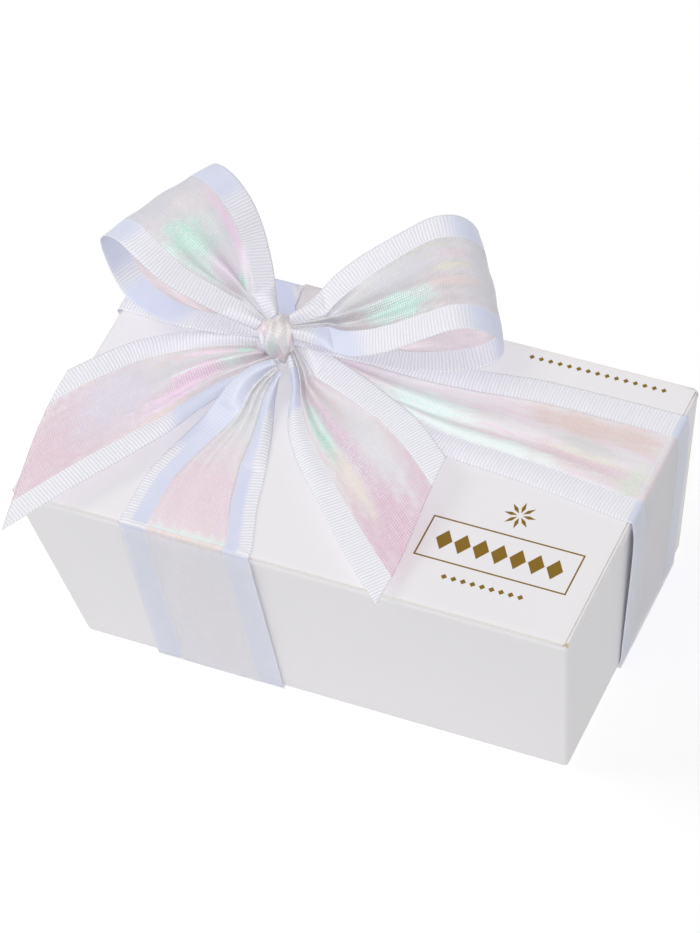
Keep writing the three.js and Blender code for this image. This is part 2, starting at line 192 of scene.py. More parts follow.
# %% [markdown]
# A surface is a grid of points worked out as whole arrays. This puts one into a mesh, with
# the cloth's own millimetres as its UV map, so that ribs and weave follow the cloth. Box
# and ribbon could be modelled by hand, but then nothing would hold them to the model.

# %% Putting a grid into a mesh
def add_piece(name, vertices, faces, smooth):
    """A mesh of points and faces, in an object at the origin."""
    mesh = bpy.data.meshes.new(name)
    mesh.from_pydata(vertices, [], faces)
    mesh.polygons.foreach_set("use_smooth", np.full(len(faces), smooth))
    piece = bpy.data.objects.new(name, mesh)
    bpy.context.scene.collection.objects.link(piece)
    return piece


def grid_piece(name, points, body, wrap=False, cloth=None, caps=(False, False)):
    """points is rows x columns x 3. wrap joins the last column to the first; caps close the end rows."""
    rows, columns = points.shape[:2]
    index = np.arange(rows * columns).reshape(rows, columns)
    if wrap:
        index = np.hstack([index, index[:, :1]])
    quads = np.stack([index[:-1, :-1], index[:-1, 1:], index[1:, 1:], index[1:, :-1]], -1).reshape(-1, 4)
    faces = quads.tolist()
    if caps[0]:
        faces.append(index[0, :columns][::-1].tolist())
    if caps[1]:
        faces.append(index[-1, :columns].tolist())
    piece = add_piece(name, points.reshape(-1, 3).tolist(), faces, True)
    if cloth is not None:
        layer = piece.data.uv_layers.new(name="cloth")
        layer.data.foreach_set("uv", cloth.reshape(-1, 2)[quads.ravel()].ravel())
    if body is not None:
        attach(piece, body)
    return piece


def thicken(piece, thickness, offset, inner=0, rim=0):
    """inner and rim are how many slots further on the inner face's and the cut edge's materials are."""
    wall = piece.modifiers.new("thickness", "SOLIDIFY")
    wall.thickness, wall.offset, wall.use_rim = thickness, offset, True
    wall.material_offset, wall.material_offset_rim = inner, rim


def board_materials(piece):
    """Coated outside, bare inside and cut edge, in the order that thicken counts them."""
    for material in (clay_coated_board, bare_board_reverse, cut_board_edge):
        piece.data.materials.append(material)


# %% [markdown]
# Smooth outlines come from a few points, with a curve drawn through them. A Blender curve
# would need a handle set at every point. This one finds its slopes by itself, and it
# doesn't loop or overshoot where two points are close together.

# %% Curves through points
def curve_through(points, share):
    """Centripetal Catmull-Rom: a cubic per span, whose slopes weigh each side by the root of its length."""
    p = np.asarray(points, float)
    q = np.vstack([2 * p[0] - p[1], p, 2 * p[-1] - p[-2]])
    x = np.asarray(share) * (len(p) - 1)
    i = np.minimum(x.astype(int), len(p) - 2)
    w = (x - i)[:, None]
    p0, p1, p2, p3 = q[i], q[i + 1], q[i + 2], q[i + 3]
    d0, d1, d2 = (np.sqrt(np.linalg.norm(b - a, axis=1))[:, None] for a, b in ((p0, p1), (p1, p2), (p2, p3)))
    slope1 = ((p1 - p0) / d0 - (p2 - p0) / (d0 + d1) + (p2 - p1) / d1) * d1
    slope2 = ((p2 - p1) / d1 - (p3 - p1) / (d1 + d2) + (p3 - p2) / d2) * d1
    bend = -3 * p1 + 3 * p2 - 2 * slope1 - slope2
    twist = 2 * p1 - 2 * p2 + slope1 + slope2
    return p1 + slope1 * w + bend * w ** 2 + twist * w ** 3


# %% [markdown]
# The carton is one sheet folded up round its base. Folded board never has a knife edge:
# each upright corner and the foot turn through a small arc. Five plates would leave the
# corners open, so this is one surface, and Solidify gives it the board's thickness. The
# wall ends a little lower at the sides, where the dust flaps fold in, than at the front
# and back.

# %% Carton shell
CORNER = 1.2 * MM
FOOT_TURN = 0.9 * MM
CREASE_TURN = 8
WALL_STEPS, FOOT_STEPS, BASE_STEPS = 26, 7, 5
PART_OF_CORNER = 0.3
BASE_RING = 0.05


def wall_top(node_name):
    """Where the solid wall ends."""
    return float(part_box(node_name)[1][2])


def rounded_rectangle(half_x, half_y, radius):
    """Corners in turn, each an arc about its own centre, joined by straight sides."""
    angle = np.linspace(0, np.pi / 2, CREASE_TURN)
    parts = []
    for quarter, (sx, sy) in enumerate([(1, 1), (-1, 1), (-1, -1), (1, -1)]):
        a = angle + quarter * np.pi / 2
        centre = np.array([sx * (half_x - radius), sy * (half_y - radius)])
        parts.append(centre + radius * np.stack([np.cos(a), np.sin(a)], 1))
    return np.concatenate(parts)


def carton_shell():
    """Down the walls the outline shrinks in a straight line, at the foot it turns in on an
    arc, and across the base it shrinks to a small closed ring."""
    outline = rounded_rectangle(RIM_X, RIM_Y, CORNER)
    to_the_side = np.abs(outline[:, 0]) >= RIM_X - CORNER * PART_OF_CORNER
    top = np.where(to_the_side, wall_top("left_wall"),
                   np.where(outline[:, 1] > 0, wall_top("back_wall"), wall_top("front_wall")))
    share = np.linspace(0, 1, WALL_STEPS)[:, None]
    heights = top[None, :] * (1 - share) + (FOOT + FOOT_TURN) * share
    turn = np.linspace(0, np.pi / 2, FOOT_STEPS)[1:, None]
    heights = np.vstack([heights, FOOT + FOOT_TURN * (1 - np.sin(turn)) + 0 * top[None, :]])
    inset = np.concatenate([np.zeros(WALL_STEPS), FOOT_TURN * (1 - np.cos(turn[:, 0]))])[:, None]
    rise = (heights - FOOT) / (LID_TOP - FOOT)
    x = outline[None, :, 0] - np.sign(outline[None, :, 0]) * ((RIM_X - FOOT_X) * (1 - rise) + inset)
    y = outline[None, :, 1] - np.sign(outline[None, :, 1]) * ((RIM_Y - FOOT_Y) * (1 - rise) + inset)
    walls = np.stack([x, y, heights], -1)
    shrink = np.linspace(1, BASE_RING, BASE_STEPS)[1:, None, None]
    base = walls[-1][None] * np.array([1, 1, 0]) * shrink + np.array([0, 0, FOOT])
    rows = np.vstack([walls, base])[:, ::-1]
    shell = grid_piece("carton_shell", rows, "box", wrap=True, caps=(False, True))
    board_materials(shell)
    thicken(shell, BOARD, -1, inner=1, rim=2)
    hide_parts("front_wall", "back_wall", "left_wall", "right_wall", "base_panel")
    print("carton shell", len(shell.data.polygons), "faces")


carton_shell()

# %% [markdown]
# Each flap is a flat plate of the same board. The knife presses the lid's edge down in a
# slight slope and rolls the clay over it, and below that the pulp shows cream. A bevelled
# box would have one round edge all over, and a profile carried round the outline gives
# each band its own material. At the ends the lid stops short, so the folds of the dust
# flaps show beside it as a light band.

# %% Flaps and tabs
CLAY_ROLL = 0.10 * MM
PULP = 0.22 * MM
SLOPE_WIDE, SLOPE_DOWN = 1.3 * MM, 0.12 * MM
LID_INSET = 0.9 * MM
LID_CORNER = 0.5 * MM
MIDDLE_RING = 0.03
ROLL_STEPS = 5


def flap_plate(name, outline, low, high, body):
    """From a small ring below, out to the cut edge, up it, round the roll, up the slope and in
    to a ring above. Each row is the outline, moved in by that much. The faces below are bare,
    the cut edge shows pulp, and the rest is coated."""
    turn = np.linspace(0, np.pi / 2, ROLL_STEPS)
    crest = high - SLOPE_DOWN
    profile = [(0.03 * MM, low), (0.0, low + 0.04 * MM), (0.0, low + PULP),
               (0.005 * MM, low + PULP + 0.02 * MM)]
    profile += [(CLAY_ROLL * (1 - np.cos(a)), crest - CLAY_ROLL + CLAY_ROLL * np.sin(a)) for a in turn]
    profile += [(SLOPE_WIDE, high - 0.01 * MM), (SLOPE_WIDE + 0.2 * MM, high)]
    span = np.abs(outline).max(0)
    count = len(outline)
    rows = [np.column_stack([outline * MIDDLE_RING, np.full(count, low)])]
    rows += [np.column_stack([outline * (1 - inset / span), np.full(count, z)]) for inset, z in profile]
    rows.append(np.column_stack([outline * MIDDLE_RING, np.full(count, high)]))
    piece = grid_piece(name, np.array(rows), body, wrap=True, caps=(True, True))
    board_materials(piece)
    bands = np.repeat([1] + [2] * 2 + [0] * (len(rows) - 4), count)
    piece.data.polygons.foreach_set("material_index", np.append(bands, [1, 0]).astype(np.int32))
    piece.data.polygons.foreach_set("use_smooth", np.zeros(len(piece.data.polygons), bool))
    print(name, len(piece.data.polygons), "faces")
    return piece


lid_outline = rounded_rectangle(RIM_X - LID_INSET, RIM_Y, LID_CORNER)
lid = flap_plate("lid_board", lid_outline, LID_UNDER, LID_TOP, "lid")
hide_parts("lid_flap")

FLAPS = ["front_flap", "left_dust_flap", "right_dust_flap"]
GLUE_TABS = ["front_left_glue_tab", "back_left_glue_tab", "front_right_glue_tab", "back_right_glue_tab"]
for names, material in ((FLAPS, clay_coated_board), (GLUE_TABS, bare_board_reverse)):
    for name in names:
        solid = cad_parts[name]
        solid.data.materials.clear()
        solid.data.materials.append(material)

# %% [markdown]
# Where a flap meets its wall the board is scored and folded, and the fold swells into a
# soft bead. The bead is a curved strip laid along the fold, from the wall's top over to
# the flap. Creasing presses the board a little thinner.

# %% Scored folds
CREASED = 0.8
BEAD_STEPS, BEAD_COLUMNS = 15, 30


def fold(name, profile, half_length, wall_side):
    """profile rows are [inward, height], carried along the fold."""
    path = curve_through(np.array(profile), np.linspace(0, 1, BEAD_STEPS)) * MM
    away = np.array(wall_side, float)
    sideways = np.array([-away[1], away[0]])
    reach = np.array([RIM_X, RIM_Y]) @ np.abs(away)
    length = np.linspace(-1, 1, BEAD_COLUMNS) * half_length
    points = np.zeros((len(path), len(length), 3))
    points[..., :2] = (away * (reach - path[:, :1]))[:, None] + (sideways * length[:, None])[None]
    points[..., 2] = path[:, 1:]
    piece = grid_piece(name, points, None)
    board_materials(piece)
    thicken(piece, BOARD * CREASED, -1, inner=1, rim=2)
    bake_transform(piece)
    print(name, "%.1f mm long" % (2 * half_length / MM))


SIDE_FOLD = [[0.34, 62.9], [0.16, 63.5], [0.08, 64.2], [0.22, 64.8], [0.55, 65.0], [0.85, 64.75], [1.1, 64.4],
             [2.0, 64.05], [3.0, 63.78]]
FRONT_FOLD = [[0.14, 63.7], [0.08, 64.0], [0.16, 64.4], [0.5, 64.68], [1.1, 64.7], [1.9, 64.56]]
BACK_FOLD = [[0.1, 64.45], [0.02, 64.8], [0.1, 65.12], [0.35, 65.3], [0.8, 65.34]]
fold("left_fold", SIDE_FOLD, RIM_Y - 0.9 * MM, (-1, 0))
fold("right_fold", SIDE_FOLD, RIM_Y - 0.9 * MM, (1, 0))
fold("front_fold", FRONT_FOLD, RIM_X - 1.4 * MM, (0, -1))
fold("back_fold", BACK_FOLD, RIM_X - 1.3 * MM, (0, 1))

# %% [markdown]
# The ribbon is woven in one width: a ribbed grosgrain border down each side, and between
# them a sheer cloth with film threads that shift from pink to mint. A border's ribs run
# across it, about 1 mm apart, and each throws a thin shadow on the next, painted as grey
# grooves. Where the cloth turns away from the light those shadows go and the border falls
# into shade, so each border carries a painted shade share, which paints it a darker plain
# lavender, like satin, and flattens its ribs. The sheer's threads are finer than a picture
# this size can show, so they are drawn 0.7 mm apart. Threads could be modelled one by one.
# Sines of the cloth's own millimetres cost far less and follow every bend.

# %% Ribbon materials
RIB_PITCH = 1.0
THREAD_PITCH = 0.7
TAU = 2 * np.pi
RIBBON_WIDTH = 39 * MM
BORDER = 7.9 * MM
HALF = RIBBON_WIDTH / 2 / MM
BORDER_AT = 1 - BORDER / MM / HALF
OUTER_LOOPS, INNER_LOOPS = 0.45, 0.4
GLOW_DEPTH = 1.0 * MM
# Patches of noise per millimetre of cloth.
RIB_WANDER, SHADE_CLOUD, GLINT_NOISE = 0.35, 0.12, 0.9
print("ribbon %.1f mm wide, borders %.1f mm" % (RIBBON_WIDTH / MM, BORDER / MM))


def cloth_axes(m):
    """The cloth's own place in millimetres, and its parts across and along the ribbon."""
    uv = node(m, "ShaderNodeUVMap", {"uv_map": "cloth"})
    parts = node(m, "ShaderNodeSeparateXYZ", Vector=uv)
    return uv, parts.outputs["X"], parts.outputs["Y"]


def ripple(m, distance, pitch):
    """A sine of the distance along one axis, from 0 to 1, once every pitch millimetres."""
    turns = node(m, MATH, MULTIPLY, i0=distance, i1=TAU / pitch)
    return node(m, MATH, MULTIPLY_ADD, i0=node(m, MATH, SINE, i0=turns), i1=0.5, i2=0.5)


def let_light_through(shader, weight):
    """Thin cloth glows on its shaded side, so some light scatters inside it."""
    shader.inputs["Subsurface Weight"].default_value = weight
    shader.inputs["Subsurface Radius"].default_value = (1, 1, 1)
    shader.inputs["Subsurface Scale"].default_value = GLOW_DEPTH


# %% [markdown]
# Grosgrain has thick threads across, so it stands up in ribs, and each edge shows the
# small loops where those threads turn back. To the eye it is a soft white with fine grey
# lines, the ribs' shadows, which are painted into the colour here as well as bumped. Its
# loops make a row of bright dots with painted shade between them, drawn stronger where
# the border is lit.

# %% Grosgrain borders
def grosgrain():
    """Ribs from a sine along the cloth, nudged by noise, with a looped thread at each edge. The
    grooves are painted rib shadow, and the painted shade share turns it a darker plain lavender.
    """
    m = new_material("white_grosgrain_weave")
    cloth, across, along = cloth_axes(m)
    uneven = node(m, NOISE, Vector=cloth, Scale=RIB_WANDER, Detail=2.0)
    rib = ripple(m, node(m, MATH, MULTIPLY_ADD, i0=uneven, i1=0.5, i2=along), RIB_PITCH)
    # This point attribute is the borders' painted shade share, and one less it is the lit share where the
    # ribs show.
    border_shade = node(m, "ShaderNodeAttribute", {"attribute_name": "border_shade"}).outputs["Fac"]
    ribbed = node(m, MATH, SUBTRACT, i0=1.0, i1=border_shade)
    cloud = node(m, NOISE, Vector=cloth, Scale=SHADE_CLOUD, Detail=1.0)
    crest = node(m, MATH, POWER, i0=rib, i1=0.7)
    # White crests and grey grooves: the grey is painted rib shadow.
    ribs_and_groove_shade = node(m, MIX, COLOURS, Factor=crest, i6=rgba("#DADAEA"), i7=rgba("#FBFAFE")).outputs[2]
    # The darker plain lavender is painted shade, for a border turned away from the light.
    shaded_plain = node(m, MIX, COLOURS, Factor=cloud, i6=rgba("#D0D6F3"), i7=rgba("#DBDFF3")).outputs[2]
    body = node(m, MIX, COLOURS, Factor=ribbed, i6=shaded_plain, i7=ribs_and_groove_shade).outputs[2]
    place = node(m, MATH, ABSOLUTE, i0=across)
    outer = node(m, MATH, GREATER, i0=place, i1=HALF - OUTER_LOOPS)
    inner = node(m, MATH, LESS, i0=place, i1=HALF - BORDER / MM + INNER_LOOPS)
    loops = node(m, MATH, MULTIPLY, i0=node(m, MATH, ADD, i0=outer, i1=inner),
                 i1=node(m, MATH, MULTIPLY_ADD, i0=ribbed, i1=0.6, i2=0.25))
    # The grey between the loops' bright dots is painted shade.
    edge = node(m, MIX, COLOURS, Factor=ripple(m, along, RIB_PITCH),
                i6=rgba("#DCDCEA"), i7=rgba("#FFFFFF")).outputs[2]
    colour = node(m, MIX, COLOURS, Factor=loops, i6=body, i7=edge).outputs[2]
    height = node(m, MATH, MULTIPLY, i0=rib, i1=node(m, MATH, MULTIPLY_ADD, i0=ribbed, i1=0.9, i2=0.1))
    bump = node(m, "ShaderNodeBump", Strength=0.5, Distance=0.16 * MM, Height=height)
    shader = node(m, "ShaderNodeBsdfPrincipled", Base_Color=colour, Roughness=0.45, Normal=bump)
    shader.inputs["Sheen Weight"].default_value = 0.2
    let_light_through(shader, 0.5)
    return finish_material(m, shader)


# %% [markdown]
# The sheer is a plain weave of flat film threads, so it is a little see-through, glossier
# than the borders and uneven: a thread that is thick in places shows as a slub. A glass
# shader would let too much through. A cloth shader with less than full opacity keeps it a
# fabric.

# %% Sheer middle
def drawn_out(m, cloth, across, along):
    """Noise stretched along one of the cloth's threads, with that many patches a millimetre."""
    spot = node(m, "ShaderNodeVectorMath", MULTIPLY, i0=cloth, i1=(across, along, 0))
    return node(m, NOISE, Vector=spot, Scale=1.0, Detail=2.0)


def sheer():
    """The painted shimmer, crossed by threads; where it is painted to sparkle, the crossings turn
    white as painted glints.
    """
    m = new_material("iridescent_sheer_weave")
    white = rgba("#FFFFFF")
    cloth, across, along = cloth_axes(m)
    warp = ripple(m, across, THREAD_PITCH)
    weft = ripple(m, along, THREAD_PITCH)
    crossing = node(m, MATH, MULTIPLY, i0=warp, i1=weft)
    painted = node(m, "ShaderNodeAttribute", {"attribute_name": "shimmer_and_shade"})
    sparkle = painted.outputs["Alpha"]
    slubs = node(m, MATH, ADD, i0=drawn_out(m, cloth, 0.22, 2.6), i1=drawn_out(m, cloth, 2.4, 0.10))
    lighter = node(m, "ShaderNodeClamp", Value=node(m, MATH, MULTIPLY_ADD, i0=slubs, i1=0.6, i2=-0.6))
    darker = node(m, "ShaderNodeClamp", Value=node(m, MATH, MULTIPLY_ADD, i0=slubs, i1=-0.4, i2=0.4))
    light = node(m, MIX, COLOURS, Factor=lighter, i6=painted, i7=white).outputs[2]
    shimmer_and_shade = node(m, MIX, COLOURS, Factor=darker, i6=light, i7=rgba("#B4AFC4")).outputs[2]
    raised = node(m, MATH, MULTIPLY, i0=node(m, MATH, ADD, i0=weft, i1=warp), i1=0.17)
    threads = node(m, MIX, COLOURS, Factor=raised, i6=shimmer_and_shade, i7=white).outputs[2]
    # White dots at the thread crossings are painted glints, as strong as the painted sparkle asks.
    glint_noise = node(m, NOISE, Vector=cloth, Scale=GLINT_NOISE, Detail=2.0)
    dots = node(m, MATH, MULTIPLY, i0=node(m, MATH, POWER, i0=crossing, i1=1.5), i1=sparkle)
    lit = node(m, MATH, MULTIPLY, i0=dots, i1=node(m, MATH, MULTIPLY_ADD, i0=glint_noise, i1=12.0, i2=-3.6))
    lit = node(m, "ShaderNodeClamp", Value=lit)
    colour = node(m, MIX, COLOURS, Factor=lit, i6=threads, i7=white).outputs[2]
    bump = node(m, "ShaderNodeBump", Strength=0.4, Distance=0.1 * MM, Height=crossing)
    shader = node(m, "ShaderNodeBsdfPrincipled", Base_Color=colour, Roughness=0.32, Alpha=0.75, Normal=bump)
    let_light_through(shader, 0.6)
    shader.inputs["Sheen Weight"].default_value = 0.15
    shader.inputs["Specular IOR Level"].default_value = 0.55
    return finish_material(m, shader)


white_grosgrain = grosgrain()
iridescent_sheer = sheer()

# %% [markdown]
# A strip of ribbon is swept between two edge curves. The curves pass through the same few
# points as the model's solids do, measured from the knot and the lid, so the cloth lies
# where they are. The borders are stiff and keep their width while there is room, and where
# the edges draw together the sheer takes up the rest in pleats. A run that is drawn in all
# the way to the rim has the rest of its width tucked under itself in one flat fold. Cloth
# simulation could drape a ribbon, but a tied bow holds folds of its own, and a sweep can
# put each of them where it belongs.

# %% Ribbon surfaces
CLOTH = 0.22 * MM
FOLDS = 2
SHEER_WIDTH = (RIBBON_WIDTH - 2 * BORDER) / MM
MOST_OF_CHORD = (0.40, 0.40)
LAYER = 0.3
# Soft ends of the borders' painted shade bands.
SHADE_FADE, SHADE_SIDE_FADE = 0.06, 0.04
PATCH_CORE, PATCH_FADE = 1.3, 0.8
TUCK_AT = 0.42 * 2 * HALF
TUCK_FROM, TUCK_OVER = 12, 8
BULGE_FROM, BULGE_OVER = 0.7, 0.3
BORDER_COLUMNS, SHEER_COLUMNS = 15, 73
ACROSS = np.concatenate([np.linspace(-1, -BORDER_AT, BORDER_COLUMNS),
                         np.linspace(-BORDER_AT, BORDER_AT, SHEER_COLUMNS)[1:-1],
                         np.linspace(BORDER_AT, 1, BORDER_COLUMNS)])


def from_knot(rows):
    """Points given in millimetres from the knot's axis and the lid's top."""
    return np.asarray(rows, float) * MM + np.array([KNOT[0], KNOT[1], LID_TOP])


def ease(x):
    """0 below 0 and 1 above 1, with a cubic between that starts and ends level."""
    x = np.clip(x, 0, 1)
    return x * x * (3 - 2 * x)


def unit(vectors):
    """Each vector divided by its length."""
    return vectors / np.linalg.norm(vectors, axis=-1, keepdims=True)


def travelled(edge):
    """Distance along a curve: the steps' lengths, added up."""
    return np.concatenate([[0], np.cumsum(np.linalg.norm(np.diff(edge, axis=0), axis=1))])


def arch(t):
    """0 over the sheer, and over each border a half wave of sine."""
    return np.sin(np.pi * np.clip((np.abs(t) - BORDER_AT) / (1 - BORDER_AT), 0, 1))


def waves(t, wander=0.0):
    """Over the sheer FOLDS uneven waves of sine, and nothing over the borders."""
    x = np.clip(t / BORDER_AT, -1, 1)
    return np.sin(FOLDS * np.pi * x + (wander + 0.8 * np.cos(2.3 * x)) * (1 - x * x))


# %% [markdown]
# Across the ribbon, each border gets its width first and the sheer what is left. Where a
# flat fold takes up spare width instead, the cloth lies there in three layers.

# %% Where the threads lie between the edges
def widths_across(t, chord, room, most):
    """Where each thread lies between the edges, from -1 to 1, and each part's share of the chord."""
    narrow = np.minimum(chord / (2 * HALF), 1)
    left, right = (np.minimum(BORDER / MM * narrow ** (1 - r), share * chord) for r, share in zip(room, most))
    whole = (1 - BORDER_AT) / 2 * chord
    left, right = (np.where(chord > 2 * HALF, whole, width) * 2 / chord for width in (left, right))
    x = (np.clip(t, -BORDER_AT, BORDER_AT) / BORDER_AT + 1) / 2
    place = -1 + left + x * (2 - left - right)
    place = place - left * np.clip((-t - BORDER_AT) / (1 - BORDER_AT), 0, 1)
    place = place + right * np.clip((t - BORDER_AT) / (1 - BORDER_AT), 0, 1)
    return place, (2 - left - right) / 2, left / 2, right / 2


def tucked(t, spare):
    """The place across and the height when a flat fold takes up spare millimetres.

    The cloth runs in, doubles back by half of spare and runs on over itself, two layers up,
    until it is past the fold."""
    x = (t + 1) * HALF
    back = spare / 2
    inside = np.clip((x - TUCK_AT) / np.maximum(back, 1e-6), 0, 1)
    doubled = np.where(x < TUCK_AT + back, 2 * TUCK_AT - x, x - spare)
    place = np.where(x < TUCK_AT, x, doubled)
    past = (x > TUCK_AT + back) * (1 - ease((place - TUCK_AT - 0.6) / 2))
    height = LAYER * np.where(x < TUCK_AT + back, ease(inside * 4), 2 * ease(back) ** 2 * past)
    return place / (2 * HALF - spare) * 2 - 1, height


# %% [markdown]
# The film threads send back pink, peach or mint by how they lie, in long streaks that run
# with the folds. A colour worked out from the view would slide over the cloth as the
# camera moves, so this shifting colour, part the cloth's own tint and part painted
# reflection, is painted on the cloth's points. Each strip starts from streaks of its own
# tints, and soft spots of colour are laid over them: mint and white spots with sparkle are
# painted glints where the light catches the cloth, and some grey spots are painted shade.

# %% Shimmer, painted glints and painted shade
def streaks(s, t, tints, seed):
    """A sum of sines, quick across and slow along, picks a place on a ramp of tints."""
    rng = np.random.default_rng(seed)
    phase = rng.uniform(0, TAU, 10)
    x = t + 0.05 * np.sin(5 * s * TAU + phase[8]) + 0.03 * np.sin(11 * s * TAU + phase[9])
    value = (np.sin(5 * x + 2 * s + phase[0]) + 0.7 * np.sin(11 * x - 3 * s + phase[1])
             + 0.5 * np.sin(19 * x + 4 * s + phase[2]) + 0.3 * np.sin(37 * x + 6 * s + phase[3])
             + 0.2 * np.sin(61 * x + phase[4]) + 0.3 * np.sin(2 * s * TAU + 2 * x + phase[5]))
    ramp = np.array([linear(tint) for tint in tints])
    place = np.clip(0.5 + value / 5, 0, 1) * (len(ramp) - 1)
    return np.stack([np.interp(place, np.arange(len(ramp)), ramp[:, k]) for k in range(3)], -1)


def paint(s, t, tints, seed, patches):
    """Streaks, then each patch, soft at its ragged edge: (along, across, length, width, colour,
    sparkle). Sparkle sets how many painted glints the sheer shows there."""
    colour = np.concatenate([streaks(s, t, tints, seed), np.zeros((*s.shape, 1))], -1)
    ragged = (0.16 * np.sin(31 * t + 9 * s) + 0.14 * np.sin(17 * s * TAU + 5 * t)
              + 0.12 * np.sin(53 * t - 29 * s * TAU))
    for s0, t0, ds, dt, hex_colour, sparkle in patches:
        reach = np.sqrt(((s - s0) / ds) ** 2 + ((t - t0) / dt) ** 2) + ragged
        weight = ease(PATCH_CORE - PATCH_FADE * reach)[..., None]
        colour = colour * (1 - weight) + np.array([*linear(hex_colour), sparkle]) * weight
    return colour


def border_shade_share(s, t, bands):
    """How much painted shade the borders get, in bands with soft ends, where they turn away from
    the light: (from, to, side, out to, most). Side is -1, 1 or 0 for both borders."""
    share = np.zeros_like(s)
    for start, end, side, out_to, most in bands:
        soft = ease((s - start) / SHADE_FADE + 0.5) * ease((end - s) / SHADE_FADE + 0.5)
        soft = soft * ease((out_to - np.abs(t)) / SHADE_SIDE_FADE + 0.5)
        share = np.maximum(share, most * soft * (side * t >= 0))
    return share


# %% [markdown]
# Lines run across from one edge to the other, and the pleats are pushed off them. A pleat
# has to hold the cloth that the edges leave over. So its full depth isn't chosen by eye:
# it follows from the cloth's width and the distance between the edges. Each kind of strip
# then shows the share of that depth that suits it.

# %% Lines from edge to edge
def strip_points(a, b, square, lift, flip, room, most, tuck, bulge):
    """Lines between the edges a and b, plus lift(s, t, pleat, curl) square to them.

    A wave of N folds with straight sides is as long as the cloth is wide when its depth
    is the square root of width squared less chord squared, over 4 N. pleat is that depth
    for the sheer, and curl is the height of one arch that takes up a border's spare width."""
    s, t = np.meshgrid(np.linspace(0, 1, len(a)), ACROSS, indexing="ij")
    chord = np.linalg.norm(b - a, axis=1)[:, None] / MM
    gathered = chord < 2 * HALF
    place, sheer_share, left_share, right_share = widths_across(t, chord, room, most)
    pleat = np.sqrt(np.clip(SHEER_WIDTH ** 2 - (chord * sheer_share) ** 2, 0, None)) / (4 * FOLDS) * gathered
    border_share = np.where(t < 0, left_share, right_share)
    curl = np.sqrt(np.clip((BORDER / MM) ** 2 - (chord * border_share) ** 2, 0, None)) / 2 * gathered
    offset = lift(s, flip * t, pleat, curl)
    if tuck:
        flat = ease((chord - TUCK_FROM) / TUCK_OVER)
        folded_place, folded_height = tucked(t, np.clip(2 * HALF - chord, 0, None))
        place = place * (1 - flat) + folded_place * flat
        offset = offset * (1 - flat) + folded_height * flat
    j = ((place + 1) / 2)[..., None]
    points = a[:, None] * (1 - j) + b[:, None] * j + square[:, None] * (offset * MM)[..., None]
    forward = unit(np.gradient(a + b, axis=0))
    reach = bulge * MM * (1 - t ** 2) * ease((s - BULGE_FROM) / BULGE_OVER)
    points += forward[:, None] * reach[..., None]
    return s, t, points


# %% [markdown]
# Then the points are made a piece, with the cloth's millimetres as its UV map and a
# border's or the sheer's material on each face. Solidify gives it a thickness.

# %% Weaving a strip
def distance_along(points, edge):
    """For every point the distance travelled along an edge, to the place beside the point."""
    beside = ((points - edge[:, None]) * unit(np.gradient(edge, axis=0))[:, None]).sum(-1)
    return travelled(edge)[:, None] + beside


def woven_strip(name, left, right, body, along, lift, look, declared, outward=(0, 0, 1), nodes=(),
                room=(1.0, 1.0), most=MOST_OF_CHORD, tuck=False, bulge=0.0):
    """A length of the ribbon between two curves through the left and right points.

    room is how far each border keeps its width, most the largest share of the chord that it
    may have, and bulge how far a cut end bows out."""
    share = np.linspace(0, 1, along + 1)
    a, b = curve_through(left, share), curve_through(right, share)
    square = np.cross(b - a, np.gradient(a + b, axis=0))
    flip = -1 if square[:along // 3].sum(0) @ np.array(outward, float) < 0 else 1
    if flip < 0:
        a, b, square, room, most = b, a, -square, room[::-1], most[::-1]
    s, t, points = strip_points(a, b, unit(square), lift, flip, room, most, tuck, bulge)
    over = np.clip((t / BORDER_AT + 1) / 2, 0, 1)
    run = distance_along(points, a) * (1 - over) + distance_along(points, b) * over
    piece = grid_piece(name, points, body, cloth=np.stack([t * HALF, run / MM], -1))
    dress_cloth(piece, s, flip * t, *look)
    centre = (ACROSS[1:] + ACROSS[:-1]) / 2
    slots = np.tile((np.abs(centre) > BORDER_AT).astype(np.int32), along)
    piece.data.polygons.foreach_set("material_index", slots)
    thicken(piece, CLOTH, 0)
    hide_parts(*nodes)
    return piece


def dress_cloth(piece, s, t, tints, seed, patches, bands):
    """Gives a strip its painted shimmer, glints and shade, and its borders' painted shade share,
    point by point, and its two materials.
    """
    tint = piece.data.attributes.new("shimmer_and_shade", "FLOAT_COLOR", "POINT")
    tint.data.foreach_set("color", paint(s, t, tints, seed, patches).reshape(-1).astype(np.float32))
    border_shade = piece.data.attributes.new("border_shade", "FLOAT", "POINT")
    border_shade.data.foreach_set("value", border_shade_share(s, t, bands).reshape(-1).astype(np.float32))
    piece.data.materials.append(iridescent_sheer)
    piece.data.materials.append(white_grosgrain)


# %% [markdown]
# A bow's loop leaves the knot gathered into pleats, opens to its full width, turns over
# at its end and comes back. A ring stretched to an oval would be too even for that. The
# loop stands upright along one heading, so a row needs only its reach, the heights of its
# two edges and its half width.

# %% Loops
PINK, PEACH, LILAC, MINT = "#EAD6E2", "#E9DAD6", "#E2D6E6", "#D2E8E0"
GLINT, CREAM, GREY, PEARL = "#F1FFF9", "#E9E4D6", "#D8D8E0", "#E6E3E8"
LOOP_STEPS = 280
GATHERED_PART = 0.22
CROWN, CRINKLE = 0.8, 0.18
LEFT_LOOP_TINTS = ["#DCD2DF", "#DFDCE1", "#E0D2DA", "#DAD9DE", "#D5DADE", "#DFDCE0", "#E0DCD2"]
# The right loop's tints are darker, greyer copies of the left loop's: painted shade.
SHADED_RIGHT_LOOP_TINTS = ["#C3BCC5", "#C5C3C8", "#C7BCBE", "#C1C2C6", "#C9C4BB", "#C2C6C8"]


